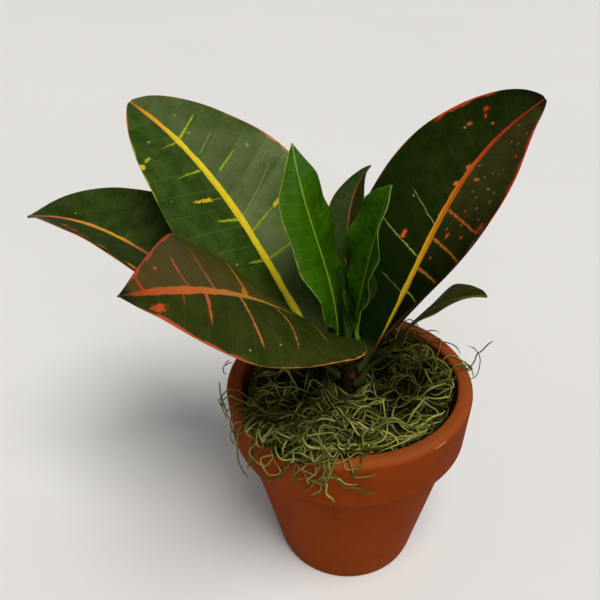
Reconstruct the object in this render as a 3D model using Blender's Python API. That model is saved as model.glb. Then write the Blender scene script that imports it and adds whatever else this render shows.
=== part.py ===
"""A potted croton in a terracotta pot, dressed with moss.

Metres, +Z up. The origin is the centre of the pot's foot, on the pot's axis, and
the pot stands on z = 0. Every leaf follows one rule: a midrib that starts at the
stem and bends by a heading and a rise, and a blade whose two halves fold and curl
about that midrib. Lengths in the dimensions below are millimetres and angles are
degrees, and Shape.build turns them to metres.
"""

import math
import random

import bpy
import bmesh
from mathutils import Vector

for old in list(bpy.data.objects):
    bpy.data.objects.remove(old, do_unlink=True)

MM = 0.001
GAP = 0.35  # between pieces that touch

# ---------------------------------------------------------------- pot
POT_H = 98.0
FOOT_R = 33.0
WAIST_R = 49.0  # outer wall just under the collar
COLLAR_H = 26.0
COLLAR_R = 53.4  # lower edge of the collar
RIM_R = 55.0
LIP_IN_R = 48.4
WALL = 5.0
FLOOR = 8.0
POT_SIDES = 48
DRAIN_R = 4.0  # three drain holes round the middle of the foot
DRAIN_PCD_R = 17.0

# ---------------------------------------------------------------- soil, moss and stem
SOIL_TOP = 84.0
SOIL_SIDES = 32
HOLE_R = 4.9
HOLE_FLOOR = 50.0
STEM_FOOT_R = 4.4
STEM_TOP_R = 3.3
STEM_FOOT_Z = HOLE_FLOOR + GAP
STEM_TOP_Z = 115.0
MOSS_SEED = 11
MOSS_SIDES = 26
MOSS_HOLLOW_R = 8.0  # where the moss stands back from the stem
SPILL = (203, 272)  # headings between which the moss lies over the lip
STRAND_R = 1.35
STRANDS = 52
SPILL_STRANDS = 9
MAT_STEPS = 5

# ---------------------------------------------------------------- leaves
BLADE_T = 0.9
RIB_T = 0.9  # how far the midrib stands under the blade
PETIOLE_R = 1.5
PETIOLE_STEPS = 4
BLADE_STEPS = 14
ACROSS = 3  # steps from midrib to margin

# start: where the midrib's line begins. seat: heading and height on the stem.
# heading, rise, roll, fold, curl_left and curl_right run from the base to the tip.
# sway and bow bend the midrib sideways and upwards between them. full is where along
# the blade it is widest, and blunt is how blunt its tip is. wave is a ripple of the
# margin: height, number and phase.
LEAVES = {
    "leaf_back_left": dict(
        start=(-8.3, 0.8, 99.7), seat=(176, 98.5), petiole=13.3, length=133, width=72.7,
        full=0.50, blunt=0.68, heading=(151, 164), sway=-7.5, rise=(57.6, 32), bow=9.6,
        roll=(-18.3, -10), fold=(24, 5), curl_left=(8, -9.5), curl_right=(29, 0),
        wave=(0.8, 3.0, 0.4), color=(0.008, 0.028, 0.004),
    ),
    "leaf_left": dict(
        start=(-4.6, 0.3, 104.3), seat=(192, 106.5), petiole=15, length=144, width=61.2,
        full=0.58, blunt=0.95, heading=(193, 166.5), sway=-22.3, rise=(27, -9.5), bow=21.3,
        roll=(-5.4, 2), fold=(24.4, 15.4), curl_left=(21.6, 16.3), curl_right=(27.6, 5.7),
        wave=(0.8, 3.0, 1.4), color=(0.008, 0.022, 0.004),
    ),
    "leaf_front_left": dict(
        start=(-0.8, -3.1, 117.7), seat=(238, 109.5), petiole=10, length=130.7, width=71.6,
        full=0.39, blunt=1.08, heading=(216, 231), sway=13.8, rise=(45.6, 18.7), bow=6.3,
        roll=(8.9, -42.3), fold=(2.6, -8.5), curl_left=(21.3, -31), curl_right=(10.3, 18.5),
        wave=(1.0, 2.5, 0.2), color=(0.045, 0.035, 0.006),
    ),
    "young_leaf_left": dict(
        start=(-5.2, -2.4, 118), seat=(178, 113), petiole=5, length=87, width=34,
        full=0.49, blunt=1.04, heading=(183, 156), sway=14, rise=(90, 82), bow=-11,
        roll=(-15, -27), fold=(8, 0), curl_left=(-16, -35), curl_right=(3, 0),
        wave=(0.9, 3.5, 0.0), color=(0.012, 0.045, 0.002),
    ),
    "young_leaf_right": dict(
        start=(1.2, -1, 119), seat=(322, 112), petiole=6, length=66, width=30,
        full=0.59, blunt=0.85, heading=(2, 1), sway=7.5, rise=(83, 74), bow=1,
        roll=(3, 7), fold=(11, 20), curl_left=(-4, 12), curl_right=(-8, 3),
        wave=(1.2, 3.5, 1.0), color=(0.010, 0.038, 0.002),
    ),
    "leaf_back": dict(
        start=(0.5, 4, 116), seat=(85, 110.5), petiole=6, length=77, width=20,
        full=0.52, blunt=0.89, heading=(100, 49), sway=11, rise=(82, 23), bow=-1,
        roll=(1, -15), fold=(26, 30), curl_left=(-3, -8), curl_right=(-4, 14),
        wave=(0.5, 3.0, 0.7), color=(0.014, 0.024, 0.004),
    ),
    "leaf_back_right": dict(
        start=(5.8, -0.4, 101.7), seat=(14, 101), petiole=12, length=134, width=70.3,
        full=0.44, blunt=0.70, heading=(33.5, 0), sway=28.6, rise=(50, 36), bow=3.2,
        roll=(-5.4, 29.4), fold=(22.5, 29), curl_left=(8.6, 49), curl_right=(70, -5),
        wave=(0.7, 3.0, 2.0), color=(0.012, 0.020, 0.004),
    ),
    "leaf_right": dict(
        start=(3.7, -2.4, 101.1), seat=(322, 96), petiole=7, length=68.3, width=30.3,
        full=0.65, blunt=1.01, heading=(-8, -32.5), sway=-4.3, rise=(44, 10), bow=28.9,
        roll=(-6, -5.2), fold=(-4.5, 11), curl_left=(-35, 3.5), curl_right=(-41, 6.3),
        wave=(1.0, 3.0, 0.5), color=(0.010, 0.026, 0.004),
    ),
}


def material(name, color, roughness):
    mat = bpy.data.materials.new(name)
    mat.use_nodes = True
    shader = mat.node_tree.nodes["Principled BSDF"]
    shader.inputs["Base Color"].default_value = (*color, 1.0)
    shader.inputs["Roughness"].default_value = roughness
    shader.inputs["Metallic"].default_value = 0.0
    mat.diffuse_color = (*color, 1.0)
    return mat


def finish(name, bm, at, mat, parent):
    """Makes the object: bm is in millimetres about the point at."""
    bmesh.ops.scale(bm, vec=(MM, MM, MM), verts=bm.verts)
    mesh = bpy.data.meshes.new(name)
    bm.to_mesh(mesh)
    bm.free()
    ob = bpy.data.objects.new(name, mesh)
    bpy.context.scene.collection.objects.link(ob)
    ob.location = Vector(at) * MM
    ob.data.materials.append(mat)
    ob.data.shade_smooth()
    ob.data.set_sharp_from_angle(angle=math.radians(50))
    ob.parent = parent
    return ob


def lathe(profile, sides):
    """Turns an open profile, whose ends lie on the axis, about Z."""
    bm = bmesh.new()
    verts = [bm.verts.new((r, 0, z)) for r, z in profile]
    edges = [bm.edges.new(pair) for pair in zip(verts, verts[1:])]
    bmesh.ops.spin(
        bm, geom=verts + edges, axis=(0, 0, 1), cent=(0, 0, 0),
        angle=math.tau, steps=sides, use_merge=True, use_duplicate=False,
    )
    bmesh.ops.remove_doubles(bm, verts=bm.verts, dist=0.001)
    bmesh.ops.recalc_face_normals(bm, faces=bm.faces)
    return bm


def skin(rings, closed_ends=True):
    """A closed body through rings of the same number of points, split alike all over."""
    bm = bmesh.new()
    grid = [[bm.verts.new(p) for p in ring] for ring in rings]
    count = len(grid[0])
    for low, high in zip(grid, grid[1:]):
        for j in range(count):
            k = (j + 1) % count
            bm.faces.new((low[j], low[k], high[k]))
            bm.faces.new((low[j], high[k], high[j]))
    if closed_ends:
        bm.faces.new(list(reversed(grid[0])))
        bm.faces.new(grid[-1])
        bm.normal_update()
        ends = [f for f in bm.faces if len(f.verts) > 3]
        bmesh.ops.triangulate(bm, faces=ends)
    bmesh.ops.recalc_face_normals(bm, faces=bm.faces)
    return bm


def mix(pair, s):
    return pair[0] + (pair[1] - pair[0]) * s


# ---------------------------------------------------------------- pot and soil
def inner_wall(z):
    """Inner radius of the pot at height z, between its floor and its lip."""
    waist = POT_H - COLLAR_H
    if z < waist:
        return FOOT_R - WALL + (WAIST_R - FOOT_R) * z / waist
    top = POT_H - 4.0
    return WAIST_R - WALL + (LIP_IN_R - WAIST_R + WALL) * min(1.0, (z - waist) / (top - waist))


def make_pot(parent):
    waist = POT_H - COLLAR_H
    profile = [
        (0, 0), (FOOT_R - 1.0, 0), (FOOT_R - 0.3, 0.3), (FOOT_R, 1.0),
        (mix((FOOT_R, WAIST_R), 0.5), waist * 0.5), (WAIST_R - 0.1, waist - 1.2),
        (WAIST_R + 0.6, waist - 0.3), (COLLAR_R - 1.2, waist), (COLLAR_R - 0.3, waist + 0.4),
        (COLLAR_R, waist + 1.3), (RIM_R - 0.1, POT_H - 5.0), (RIM_R, POT_H - 3.0),
        (RIM_R - 0.6, POT_H - 1.2), (RIM_R - 2.0, POT_H - 0.2), (RIM_R - 3.4, POT_H),
        (LIP_IN_R + 1.6, POT_H - 0.3), (LIP_IN_R + 0.4, POT_H - 1.5), (LIP_IN_R, POT_H - 4.0),
        (inner_wall(waist), waist), (inner_wall(FLOOR) - 0.6, FLOOR + 2.0),
        (inner_wall(FLOOR) - 2.6, FLOOR), (0, FLOOR),
    ]
    bm = lathe(profile, POT_SIDES)
    pot = finish("pot", bm, (0, 0, 0), material("terracotta", (0.165, 0.042, 0.010), 0.5), parent)
    for i in range(3):
        turn = math.radians(90 + 120 * i)
        cut = bmesh.new()
        bmesh.ops.create_cone(
            cut, cap_ends=True, segments=16, radius1=DRAIN_R, radius2=DRAIN_R, depth=FLOOR * 3
        )
        place = (DRAIN_PCD_R * math.cos(turn), DRAIN_PCD_R * math.sin(turn), FLOOR / 2)
        cutter = finish("drain_cutter_%d" % i, cut, place, pot.data.materials[0], parent)
        cutter.hide_render = True
        cutter.display_type = "WIRE"
        hole = pot.modifiers.new("drain_%d" % i, "BOOLEAN")
        hole.operation = "DIFFERENCE"
        hole.solver = "EXACT"
        hole.object = cutter
    return pot


def make_soil(parent):
    waist = POT_H - COLLAR_H
    profile = [
        (0, FLOOR + GAP), (inner_wall(FLOOR) - 2.8, FLOOR + GAP),
        (inner_wall(FLOOR) - 0.6 - GAP, FLOOR + 2.0 + GAP), (inner_wall(waist) - 2 * GAP, waist),
        (inner_wall(SOIL_TOP) - 2 * GAP, SOIL_TOP), (HOLE_R + 9.0, SOIL_TOP - 0.4),
        (HOLE_R, SOIL_TOP - 0.8), (HOLE_R, HOLE_FLOOR), (0, HOLE_FLOOR),
    ]
    bm = lathe(profile, SOIL_SIDES)
    mat = material("potting_soil", (0.02, 0.013, 0.008), 0.95)
    return finish("soil", bm, (0, 0, 0), mat, parent)


# ---------------------------------------------------------------- stem
def stem_radius(z):
    return mix((STEM_FOOT_R, STEM_TOP_R), (z - STEM_FOOT_Z) / (STEM_TOP_Z - STEM_FOOT_Z))


def make_stem(parent):
    """A woody stem with raised leaf scars, a short stub and a pointed bud at its top."""
    sides = 12
    stations = [
        (STEM_FOOT_Z, 0.0), (88, 0.0), (91.5, -0.1), (92.4, 0.15), (93.4, -0.1),
        (97.0, 0.0), (102.4, -0.1), (103.2, 0.15), (104.2, -0.1), (110.2, 0.0),
        (STEM_TOP_Z, -0.1), (STEM_TOP_Z + 1.6, -0.9), (STEM_TOP_Z + 3.8, -1.6),
        (STEM_TOP_Z + 6.0, -2.6),
    ]
    rings = []
    for z, swell in stations:
        r = stem_radius(min(z, STEM_TOP_Z)) + swell
        ring = []
        for k in range(sides):
            turn = math.tau * k / sides
            ring.append((r * math.cos(turn), r * math.sin(turn), z - STEM_FOOT_Z))
        rings.append(ring)
    bm = skin(rings)
    mat = material("young_wood", (0.10, 0.062, 0.030), 0.7)
    stem = finish("stem", bm, (0, 0, STEM_FOOT_Z), mat, parent)
    return stem


# ---------------------------------------------------------------- leaves
def outline(t, full, blunt):
    """Half width of a blade as a share of its widest, t from base to tip."""
    if t <= 0.0 or t >= 1.0:
        return 0.0
    a = blunt * full / (1.0 - full)
    top = full ** a * (1.0 - full) ** blunt
    return t ** a * (1.0 - t) ** blunt / top


def midrib(leaf, steps):
    """Points and frames along the whole line, from its start to the tip."""
    total = leaf["petiole"] + leaf["length"]
    point = Vector(leaf["start"])
    line = []
    for i in range(steps + 1):
        s = i / steps
        arch = math.sin(math.pi * s)
        turn = math.radians(mix(leaf["heading"], s) + leaf["sway"] * arch)
        lift = math.radians(mix(leaf["rise"], s) + leaf["bow"] * arch)
        along = Vector((
            math.cos(lift) * math.cos(turn), math.cos(lift) * math.sin(turn), math.sin(lift)
        ))
        if i:
            point = point + (before + along) * (0.5 * total / steps)
        before = along
        left = Vector((-math.sin(turn), math.cos(turn), 0.0))
        up = along.cross(left)
        roll = math.radians(mix(leaf["roll"], s))
        side = left * math.cos(roll) + up * math.sin(roll)
        face = up * math.cos(roll) - left * math.sin(roll)
        line.append((point.copy(), along, side, face))
    return line


def pick(line, s):
    """The midrib's point and frame at s, between two stored steps."""
    x = s * (len(line) - 1)
    i = min(int(x), len(line) - 2)
    f = x - i
    point = line[i][0].lerp(line[i + 1][0], f)
    return [point] + [line[i][k].lerp(line[i + 1][k], f).normalized() for k in (1, 2, 3)]


def blade_ring(leaf, line, s, half):
    """One closed loop round the blade: its upper face from right to left, then its lower."""
    point, along, side, face = pick(line, s)
    fold = math.radians(mix(leaf["fold"], s))
    height, number, phase = leaf["wave"]
    upper, lower = [], []
    for j in range(-ACROSS, ACROSS + 1):
        v = j / ACROSS
        x = abs(v)
        sign = 1.0 if v >= 0 else -1.0
        curl = math.radians(mix(leaf["curl_left" if v > 0 else "curl_right"], s))
        if abs(curl) < 1e-3:
            curl = 1e-3
        out = (math.sin(fold + curl * x) - math.sin(fold)) / curl
        lift = (math.cos(fold) - math.cos(fold + curl * x)) / curl
        ripple = math.sin(math.tau * number * s + phase + (0.0 if v > 0 else 1.9))
        rise = half * lift + height * ripple * x * x * min(1.0, half / 8.0)
        tilt = fold + curl * x
        normal = face * math.cos(tilt) - side * sign * math.sin(tilt)
        if j == 0:
            normal = face
        thick = BLADE_T * (1.0 - 0.25 * x)
        deep = thick
        if j == 0:
            deep = thick + RIB_T * min(1.0, half / 6.0)
        top = point + side * (sign * half * out) + face * rise
        upper.append(top)
        lower.append(top - normal * deep)
    return upper + list(reversed(lower))


def make_leaf(name, leaf, parent):
    line = midrib(leaf, 60)
    total = leaf["petiole"] + leaf["length"]
    base = leaf["petiole"] / total
    foot, along, side, face = pick(line, base)
    turn, height = math.radians(leaf["seat"][0]), leaf["seat"][1]
    outward = Vector((math.cos(turn), math.sin(turn), 0.0))
    seat = outward * (stem_radius(height) + GAP) + Vector((0, 0, height))
    reach = (foot - seat).length * 0.4
    first = seat + (outward + Vector((0, 0, 0.45))).normalized() * reach
    second = foot - along * reach
    count = 2 * (2 * ACROSS + 1)
    rings = []
    for i in range(PETIOLE_STEPS):
        f = i / PETIOLE_STEPS
        a, b, c, d = (1 - f) ** 3, 3 * f * (1 - f) ** 2, 3 * f * f * (1 - f), f ** 3
        point = seat * a + first * b + second * c + foot * d
        heading = (
            (first - seat) * (1 - f) ** 2 + (second - first) * 2 * f * (1 - f)
            + (foot - second) * f * f
        ).normalized()
        if i == 0:
            heading = outward
        flat = (side - heading * side.dot(heading)).normalized()
        top = heading.cross(flat)
        radius = PETIOLE_R * (1.2 - 0.2 * f)
        ring = []
        for k in range(count):
            angle = math.pi * (1.0 - (2 * k + 1) / count)
            ring.append(point + (flat * math.cos(angle) + top * math.sin(angle)) * radius)
        rings.append(ring)
    for i in range(BLADE_STEPS + 1):
        t = i / BLADE_STEPS
        t = 0.012 + (0.992 - 0.012) * (t - 0.35 * math.sin(math.tau * t) / math.tau)
        s = base + (1 - base) * t
        half = max(0.5 * leaf["width"] * outline(t, leaf["full"], leaf["blunt"]), 0.7)
        half = max(half, PETIOLE_R * 1.1 * (1.0 - t * 9))
        rings.append(blade_ring(leaf, line, s, half))
    at = Vector(seat)
    rings = [[p - at for p in ring] for ring in rings]
    bm = skin(rings)
    mat = material(name + "_green", leaf["color"], 0.4)
    return finish(name, bm, at, mat, parent)


# ---------------------------------------------------------------- moss
def lip_path(arc, off):
    """A point (r, z) at distance off from the pot's surface. The arc runs from the soil's
    edge up the inner wall, over the lip and down the outside of the collar."""
    mid_r = (RIM_R + LIP_IN_R) / 2
    bend = (RIM_R - LIP_IN_R) / 2
    up = POT_H - bend - SOIL_TOP
    over = math.pi * bend
    if arc < up:
        z = SOIL_TOP + arc
        return min(inner_wall(z), LIP_IN_R) - off, z
    if arc < up + over:
        turn = math.pi - (arc - up) / bend
        r = bend + off
        return mid_r + r * math.cos(turn), POT_H - bend + r * math.sin(turn)
    down = arc - up - over
    return RIM_R + off - down * 0.035, POT_H - bend - down


LIP_START = POT_H - (RIM_R - LIP_IN_R) / 2 - SOIL_TOP


def lumps(x, y):
    """A fixed, uneven height of the mat in millimetres."""
    return (
        1.5 * math.sin(0.23 * x + 0.9) * math.cos(0.27 * y - 0.4)
        + 1.1 * math.sin(0.41 * x - 0.36 * y + 2.1)
        + 0.8 * math.cos(0.55 * y + 0.31 * x)
    )


def mat_edge(turn):
    """Height above the soil at which the mat meets the wall: lower towards the left."""
    front = 0.5 + 0.5 * math.cos(turn - math.radians(246))
    left = 0.5 + 0.5 * math.cos(turn - math.radians(172))
    return 9.6 - 4.8 * left * left + 1.8 * front ** 4


def mat_profile(turn):
    """The closed outline (r, z) of the mat at one heading, the lower side first."""
    soil_r = inner_wall(SOIL_TOP) - 1.4
    low = SOIL_TOP + GAP
    edge = mat_edge(turn)
    front = (0.5 + 0.5 * math.cos(turn - math.radians(246))) ** 4
    ring = [(HOLE_R + 1.5, low), (26, low), (soil_r, low)]
    ring.append(lip_path(0.5 * edge, 0.8))
    ring.append(lip_path(edge, 0.9))
    edge_r, edge_z = ring[-1][0] - 2.0, ring[-1][1] + 1.4
    ring.append((edge_r, edge_z))
    mid_z = mix((94.6, 96.3), front)
    for i in range(1, MAT_STEPS):
        f = i / MAT_STEPS
        r = mix((edge_r, MOSS_HOLLOW_R), f)
        z = mix((edge_z, mid_z), min(1.0, f * 2.2)) + 2.5 * front * math.sin(math.pi * min(1.0, f * 1.6))
        z += lumps(r * math.cos(turn), r * math.sin(turn)) * min(1.0, f * 3)
        ring.append((r, z - 3.0 * max(0.0, f - 0.6)))
    ring.append((MOSS_HOLLOW_R - 1.0, 91.0))
    return ring


def spill_body():
    """The part of the moss that lies over the lip, thickest half way along."""
    rings = []
    steps = 10
    for n in range(steps + 1):
        f = n / steps
        turn = math.radians(mix(SPILL, f))
        full = math.sin(math.pi * f) ** 0.6
        first, last = LIP_START - 4.0, LIP_START + mix((9.5, 13.0), full) + 0.8 * math.sin(2.3 * n)
        loop = []
        for k in range(10):
            loop.append(lip_path(mix((first, last), k / 9), 1.1))
        for k in range(8, -1, -1):
            bump = 0.7 * math.sin(2.1 * n + 1.3 * k)
            thick = 1.1 + mix((1.2, 3.3), full) * math.sin(math.pi * (k + 0.9) / 10) + bump * full
            loop.append(lip_path(mix((first, last), k / 8), max(thick, 2.3)))
        ring = []
        for k, (r, z) in enumerate(loop):
            along = k if k < 10 else (18 - k) * 9 / 8
            bent = turn + math.radians(1.6) * math.sin(1.1 * along + 1.7 * n)
            ring.append((r * math.cos(bent), r * math.sin(bent), z))
        rings.append(ring)
    return skin(rings)


def mat_surface(turn, f):
    """A point on top of the mat and its outward direction, f from the hollow to the edge."""
    top = list(reversed(mat_profile(turn)[5:-1]))
    x = min(max(f, 0.0), 0.9999) * (len(top) - 1)
    i = int(x)
    r = mix((top[i][0], top[i + 1][0]), x - i)
    z = mix((top[i][1], top[i + 1][1]), x - i)
    dr, dz = top[i + 1][0] - top[i][0], top[i + 1][1] - top[i][1]
    size = math.hypot(dr, dz) or 1.0
    nr, nz = -dz / size, dr / size
    where = Vector((r * math.cos(turn), r * math.sin(turn), z))
    return where, Vector((nr * math.cos(turn), nr * math.sin(turn), nz))


def smooth(points, times):
    """Rounds a line by cutting its corners, keeping both ends."""
    for _ in range(times):
        out = [points[0]]
        for a, b in zip(points, points[1:]):
            out += [a.lerp(b, 0.25), a.lerp(b, 0.75)]
        out.append(points[-1])
        points = out
    return points


def strand(points, radius, keep, up, rounds=2):
    """A three-sided strand through a line, one edge upwards, tapering to both ends."""
    fine = smooth(points, rounds)
    line = [fine[round(i * (len(fine) - 1) / keep)] for i in range(keep + 1)]
    rings = []
    across = up
    for i, p in enumerate(line):
        ahead = line[min(i + 1, keep)] - line[max(i - 1, 0)]
        ahead = ahead.normalized()
        across = (across - ahead * across.dot(ahead)).normalized()
        other = ahead.cross(across)
        r = radius * (0.55 if i in (0, keep) else 1.0)
        rings.append([
            p + (across * math.cos(q) + other * math.sin(q)) * r
            for q in (0.0, math.tau / 3, 2 * math.tau / 3)
        ])
    return skin(rings)


def loose_strands(rng):
    """Curls over the top of the mat, each with both ends sunk in it."""
    out = []
    count = 6
    for n in range(STRANDS):
        turn = math.tau * (n * 0.618034 % 1.0)
        f = 0.08 + 0.84 * math.sqrt((n + 0.5) / STRANDS)
        swing = rng.uniform(-1.5, 1.5)
        way = rng.uniform(0, math.tau)
        points = []
        for i in range(count):
            where, normal = mat_surface(turn, f)
            arch = math.sin(math.pi * i / (count - 1))
            lift = -1.3 + 2.9 * arch + rng.uniform(-0.2, 0.6) * arch
            points.append(where + normal * lift)
            way += swing * rng.uniform(0.2, 0.9)
            step = rng.uniform(3.6, 5.4)
            r = max(math.hypot(where.x, where.y), 9.0)
            turn += step * math.sin(way) / r
            f = min(max(f + step * math.cos(way) / 38.0, 0.07), 0.93)
        size = STRAND_R * rng.uniform(0.85, 1.15)
        out.append(strand(points, size, 6, Vector((0, 0, 1))))
    return out


def spill_strands(rng):
    """Curls that lie slantwise over the moss on the lip."""
    out = []
    for n in range(SPILL_STRANDS):
        f = (n + 0.5) / SPILL_STRANDS
        full = math.sin(math.pi * f) ** 0.6
        heading = mix(SPILL, f)
        slant = rng.uniform(4.0, 9.0) * (1 if n % 2 else -1)
        points = []
        for i in range(7):
            g = i / 6
            turn = math.radians(heading + slant * (g - 0.5) + 1.2 * math.sin(6 * g + n))
            arc = LIP_START + mix((-1.5, 11.0), g)
            off = 1.5 + mix((1.2, 2.9), full) * math.sin(math.pi * mix((0.1, 0.85), g))
            r, z = lip_path(arc, off + 0.4)
            points.append(Vector((r * math.cos(turn), r * math.sin(turn), z)))
        out.append(strand(points, STRAND_R, 6, Vector((0, 0, 1)), 0))
    return out


# Heading where the strand crosses the lip, how far it drifts, and how far it drops.
HANGING = (
    (208, 3, 27), (213, -2, 16), (221, 7, 21), (229, -6, 20), (236, 4, 17),
    (243, 3, 21), (249, 6, 13), (255, -9, 24), (259, 2, 28), (263, 17, 22),
)


def hanging_strands(rng):
    """Strands that run over the lip and hang down the outside of the collar."""
    out = []
    for heading, drift, drop in HANGING:
        arcs = [LIP_START + step for step in (-1.5, 1.5, 4.0, 6.5, 9.0, 12.0)]
        arcs += [arcs[-1] + drop * share for share in (0.28, 0.55, 0.8, 1.0)]
        points = []
        for i, arc in enumerate(arcs):
            f = (arc - arcs[0]) / (arcs[-1] - arcs[0])
            sway = 1.6 * math.sin(5.5 * f + heading) * f
            turn = math.radians(heading + drift * f * f + sway)
            r, z = lip_path(arc, 2.5 + 0.7 * f + rng.uniform(-0.1, 0.1))
            points.append(Vector((r * math.cos(turn), r * math.sin(turn), z)))
        out.append(strand(points, STRAND_R, len(points) - 1, Vector((0, 0, 1)), 0))
    return out


def drop_pockets(mesh):
    """Deletes every closed shell but the largest, which fills the pockets between strands."""
    bm = bmesh.new()
    bm.from_mesh(mesh)
    left = set(bm.verts)
    shells = []
    while left:
        shell = set()
        front = [left.pop()]
        while front:
            vert = front.pop()
            shell.add(vert)
            near = {edge.other_vert(vert) for edge in vert.link_edges} & left
            left -= near
            front.extend(near)
        shells.append(shell)
    shells.sort(key=len)
    for shell in shells[:-1]:
        bmesh.ops.delete(bm, geom=list(shell), context="VERTS")
    bm.to_mesh(mesh)
    bm.free()


def make_moss(parent):
    rng = random.Random(MOSS_SEED)
    rings = []
    mat = material("moss", (0.045, 0.040, 0.007), 0.9)
    for k in range(MOSS_SIDES):
        turn = math.tau * k / MOSS_SIDES
        rings.append([(r * math.cos(turn), r * math.sin(turn), z) for r, z in mat_profile(turn)])
    rings.append(rings[0])
    bm = skin(rings, closed_ends=False)
    bmesh.ops.remove_doubles(bm, verts=bm.verts, dist=0.0005)
    bmesh.ops.recalc_face_normals(bm, faces=bm.faces)
    moss = finish("moss", bm, (0, 0, 0), mat, parent)
    group = bpy.data.collections.new("moss_strands")
    bpy.context.scene.collection.children.link(group)
    bodies = [spill_body()] + loose_strands(rng) + spill_strands(rng) + hanging_strands(rng)
    for n, body in enumerate(bodies):
        ob = finish("moss_strand_%d" % n, body, (0, 0, 0), mat, None)
        bpy.context.scene.collection.objects.unlink(ob)
        group.objects.link(ob)
    join = moss.modifiers.new("strands", "BOOLEAN")
    join.operation = "UNION"
    join.operand_type = "COLLECTION"
    join.collection = group
    join.solver = "MANIFOLD"
    bpy.context.view_layer.update()
    view = bpy.context.evaluated_depsgraph_get()
    joined = bpy.data.meshes.new_from_object(moss.evaluated_get(view))
    moss.modifiers.remove(join)
    drop_pockets(joined)
    moss.data = joined
    for ob in list(group.objects):
        bpy.data.objects.remove(ob, do_unlink=True)
    bpy.data.collections.remove(group)
    return moss


root = bpy.data.objects.new("potted_croton", None)
bpy.context.scene.collection.objects.link(root)
make_pot(root)
make_soil(root)
make_stem(root)
make_moss(root)
for leaf_name, leaf_shape in LEAVES.items():
    make_leaf(leaf_name, leaf_shape, root)
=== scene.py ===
"""The looks of a potted croton: eight leaves with painted veins, a short woody stem,
curly moss and a terracotta pot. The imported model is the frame, and each finer piece
follows the same rules, in the same place. Shapes are worked out in millimetres and
degrees, and solid() turns them to metres."""

import math

import bpy
import numpy as np
from mathutils import Matrix


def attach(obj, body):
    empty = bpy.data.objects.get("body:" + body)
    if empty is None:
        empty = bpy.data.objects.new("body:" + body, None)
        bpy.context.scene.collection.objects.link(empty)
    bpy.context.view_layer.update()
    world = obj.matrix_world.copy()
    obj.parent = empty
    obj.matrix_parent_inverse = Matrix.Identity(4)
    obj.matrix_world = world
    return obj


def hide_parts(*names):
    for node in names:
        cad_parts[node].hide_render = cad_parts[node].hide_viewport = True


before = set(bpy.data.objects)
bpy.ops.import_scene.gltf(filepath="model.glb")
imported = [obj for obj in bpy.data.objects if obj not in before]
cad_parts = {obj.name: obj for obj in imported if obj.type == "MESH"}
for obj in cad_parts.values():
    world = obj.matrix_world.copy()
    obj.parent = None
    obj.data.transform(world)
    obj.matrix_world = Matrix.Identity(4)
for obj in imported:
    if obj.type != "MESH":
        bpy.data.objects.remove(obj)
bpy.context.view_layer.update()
scene = bpy.context.scene
rng = np.random.default_rng(7)
MM = 0.001
L, R = 1.0, -1.0  # the two sides of a blade, looking from its base to its tip

# ---------------------------------------------------------------- sizes shared with the solids
POT_H, FOOT_R, WAIST_R, COLLAR_H, COLLAR_R = 98.0, 33.0, 49.0, 26.0, 53.4
RIM_R, LIP_IN_R, WALL, FLOOR = 55.0, 48.4, 5.0, 8.0
DRAIN_R, DRAIN_PCD_R = 4.0, 17.0
SOIL_TOP, HOLE_R, HOLLOW_R = 84.0, 4.9, 8.0
STEM_FOOT_R, STEM_TOP_R, STEM_FOOT_Z, STEM_TOP_Z = 4.4, 3.3, 50.35, 115.0
PETIOLE_R, GAP = 1.5, 0.35
WAIST_Z = POT_H - COLLAR_H
LIP_BEND = (RIM_R - LIP_IN_R) / 2
LIP_START = POT_H - LIP_BEND - SOIL_TOP
LIP_SLOW = LIP_BEND / (LIP_BEND + 3.3)  # a length on the moss over the lip, as one on the lip

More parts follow.
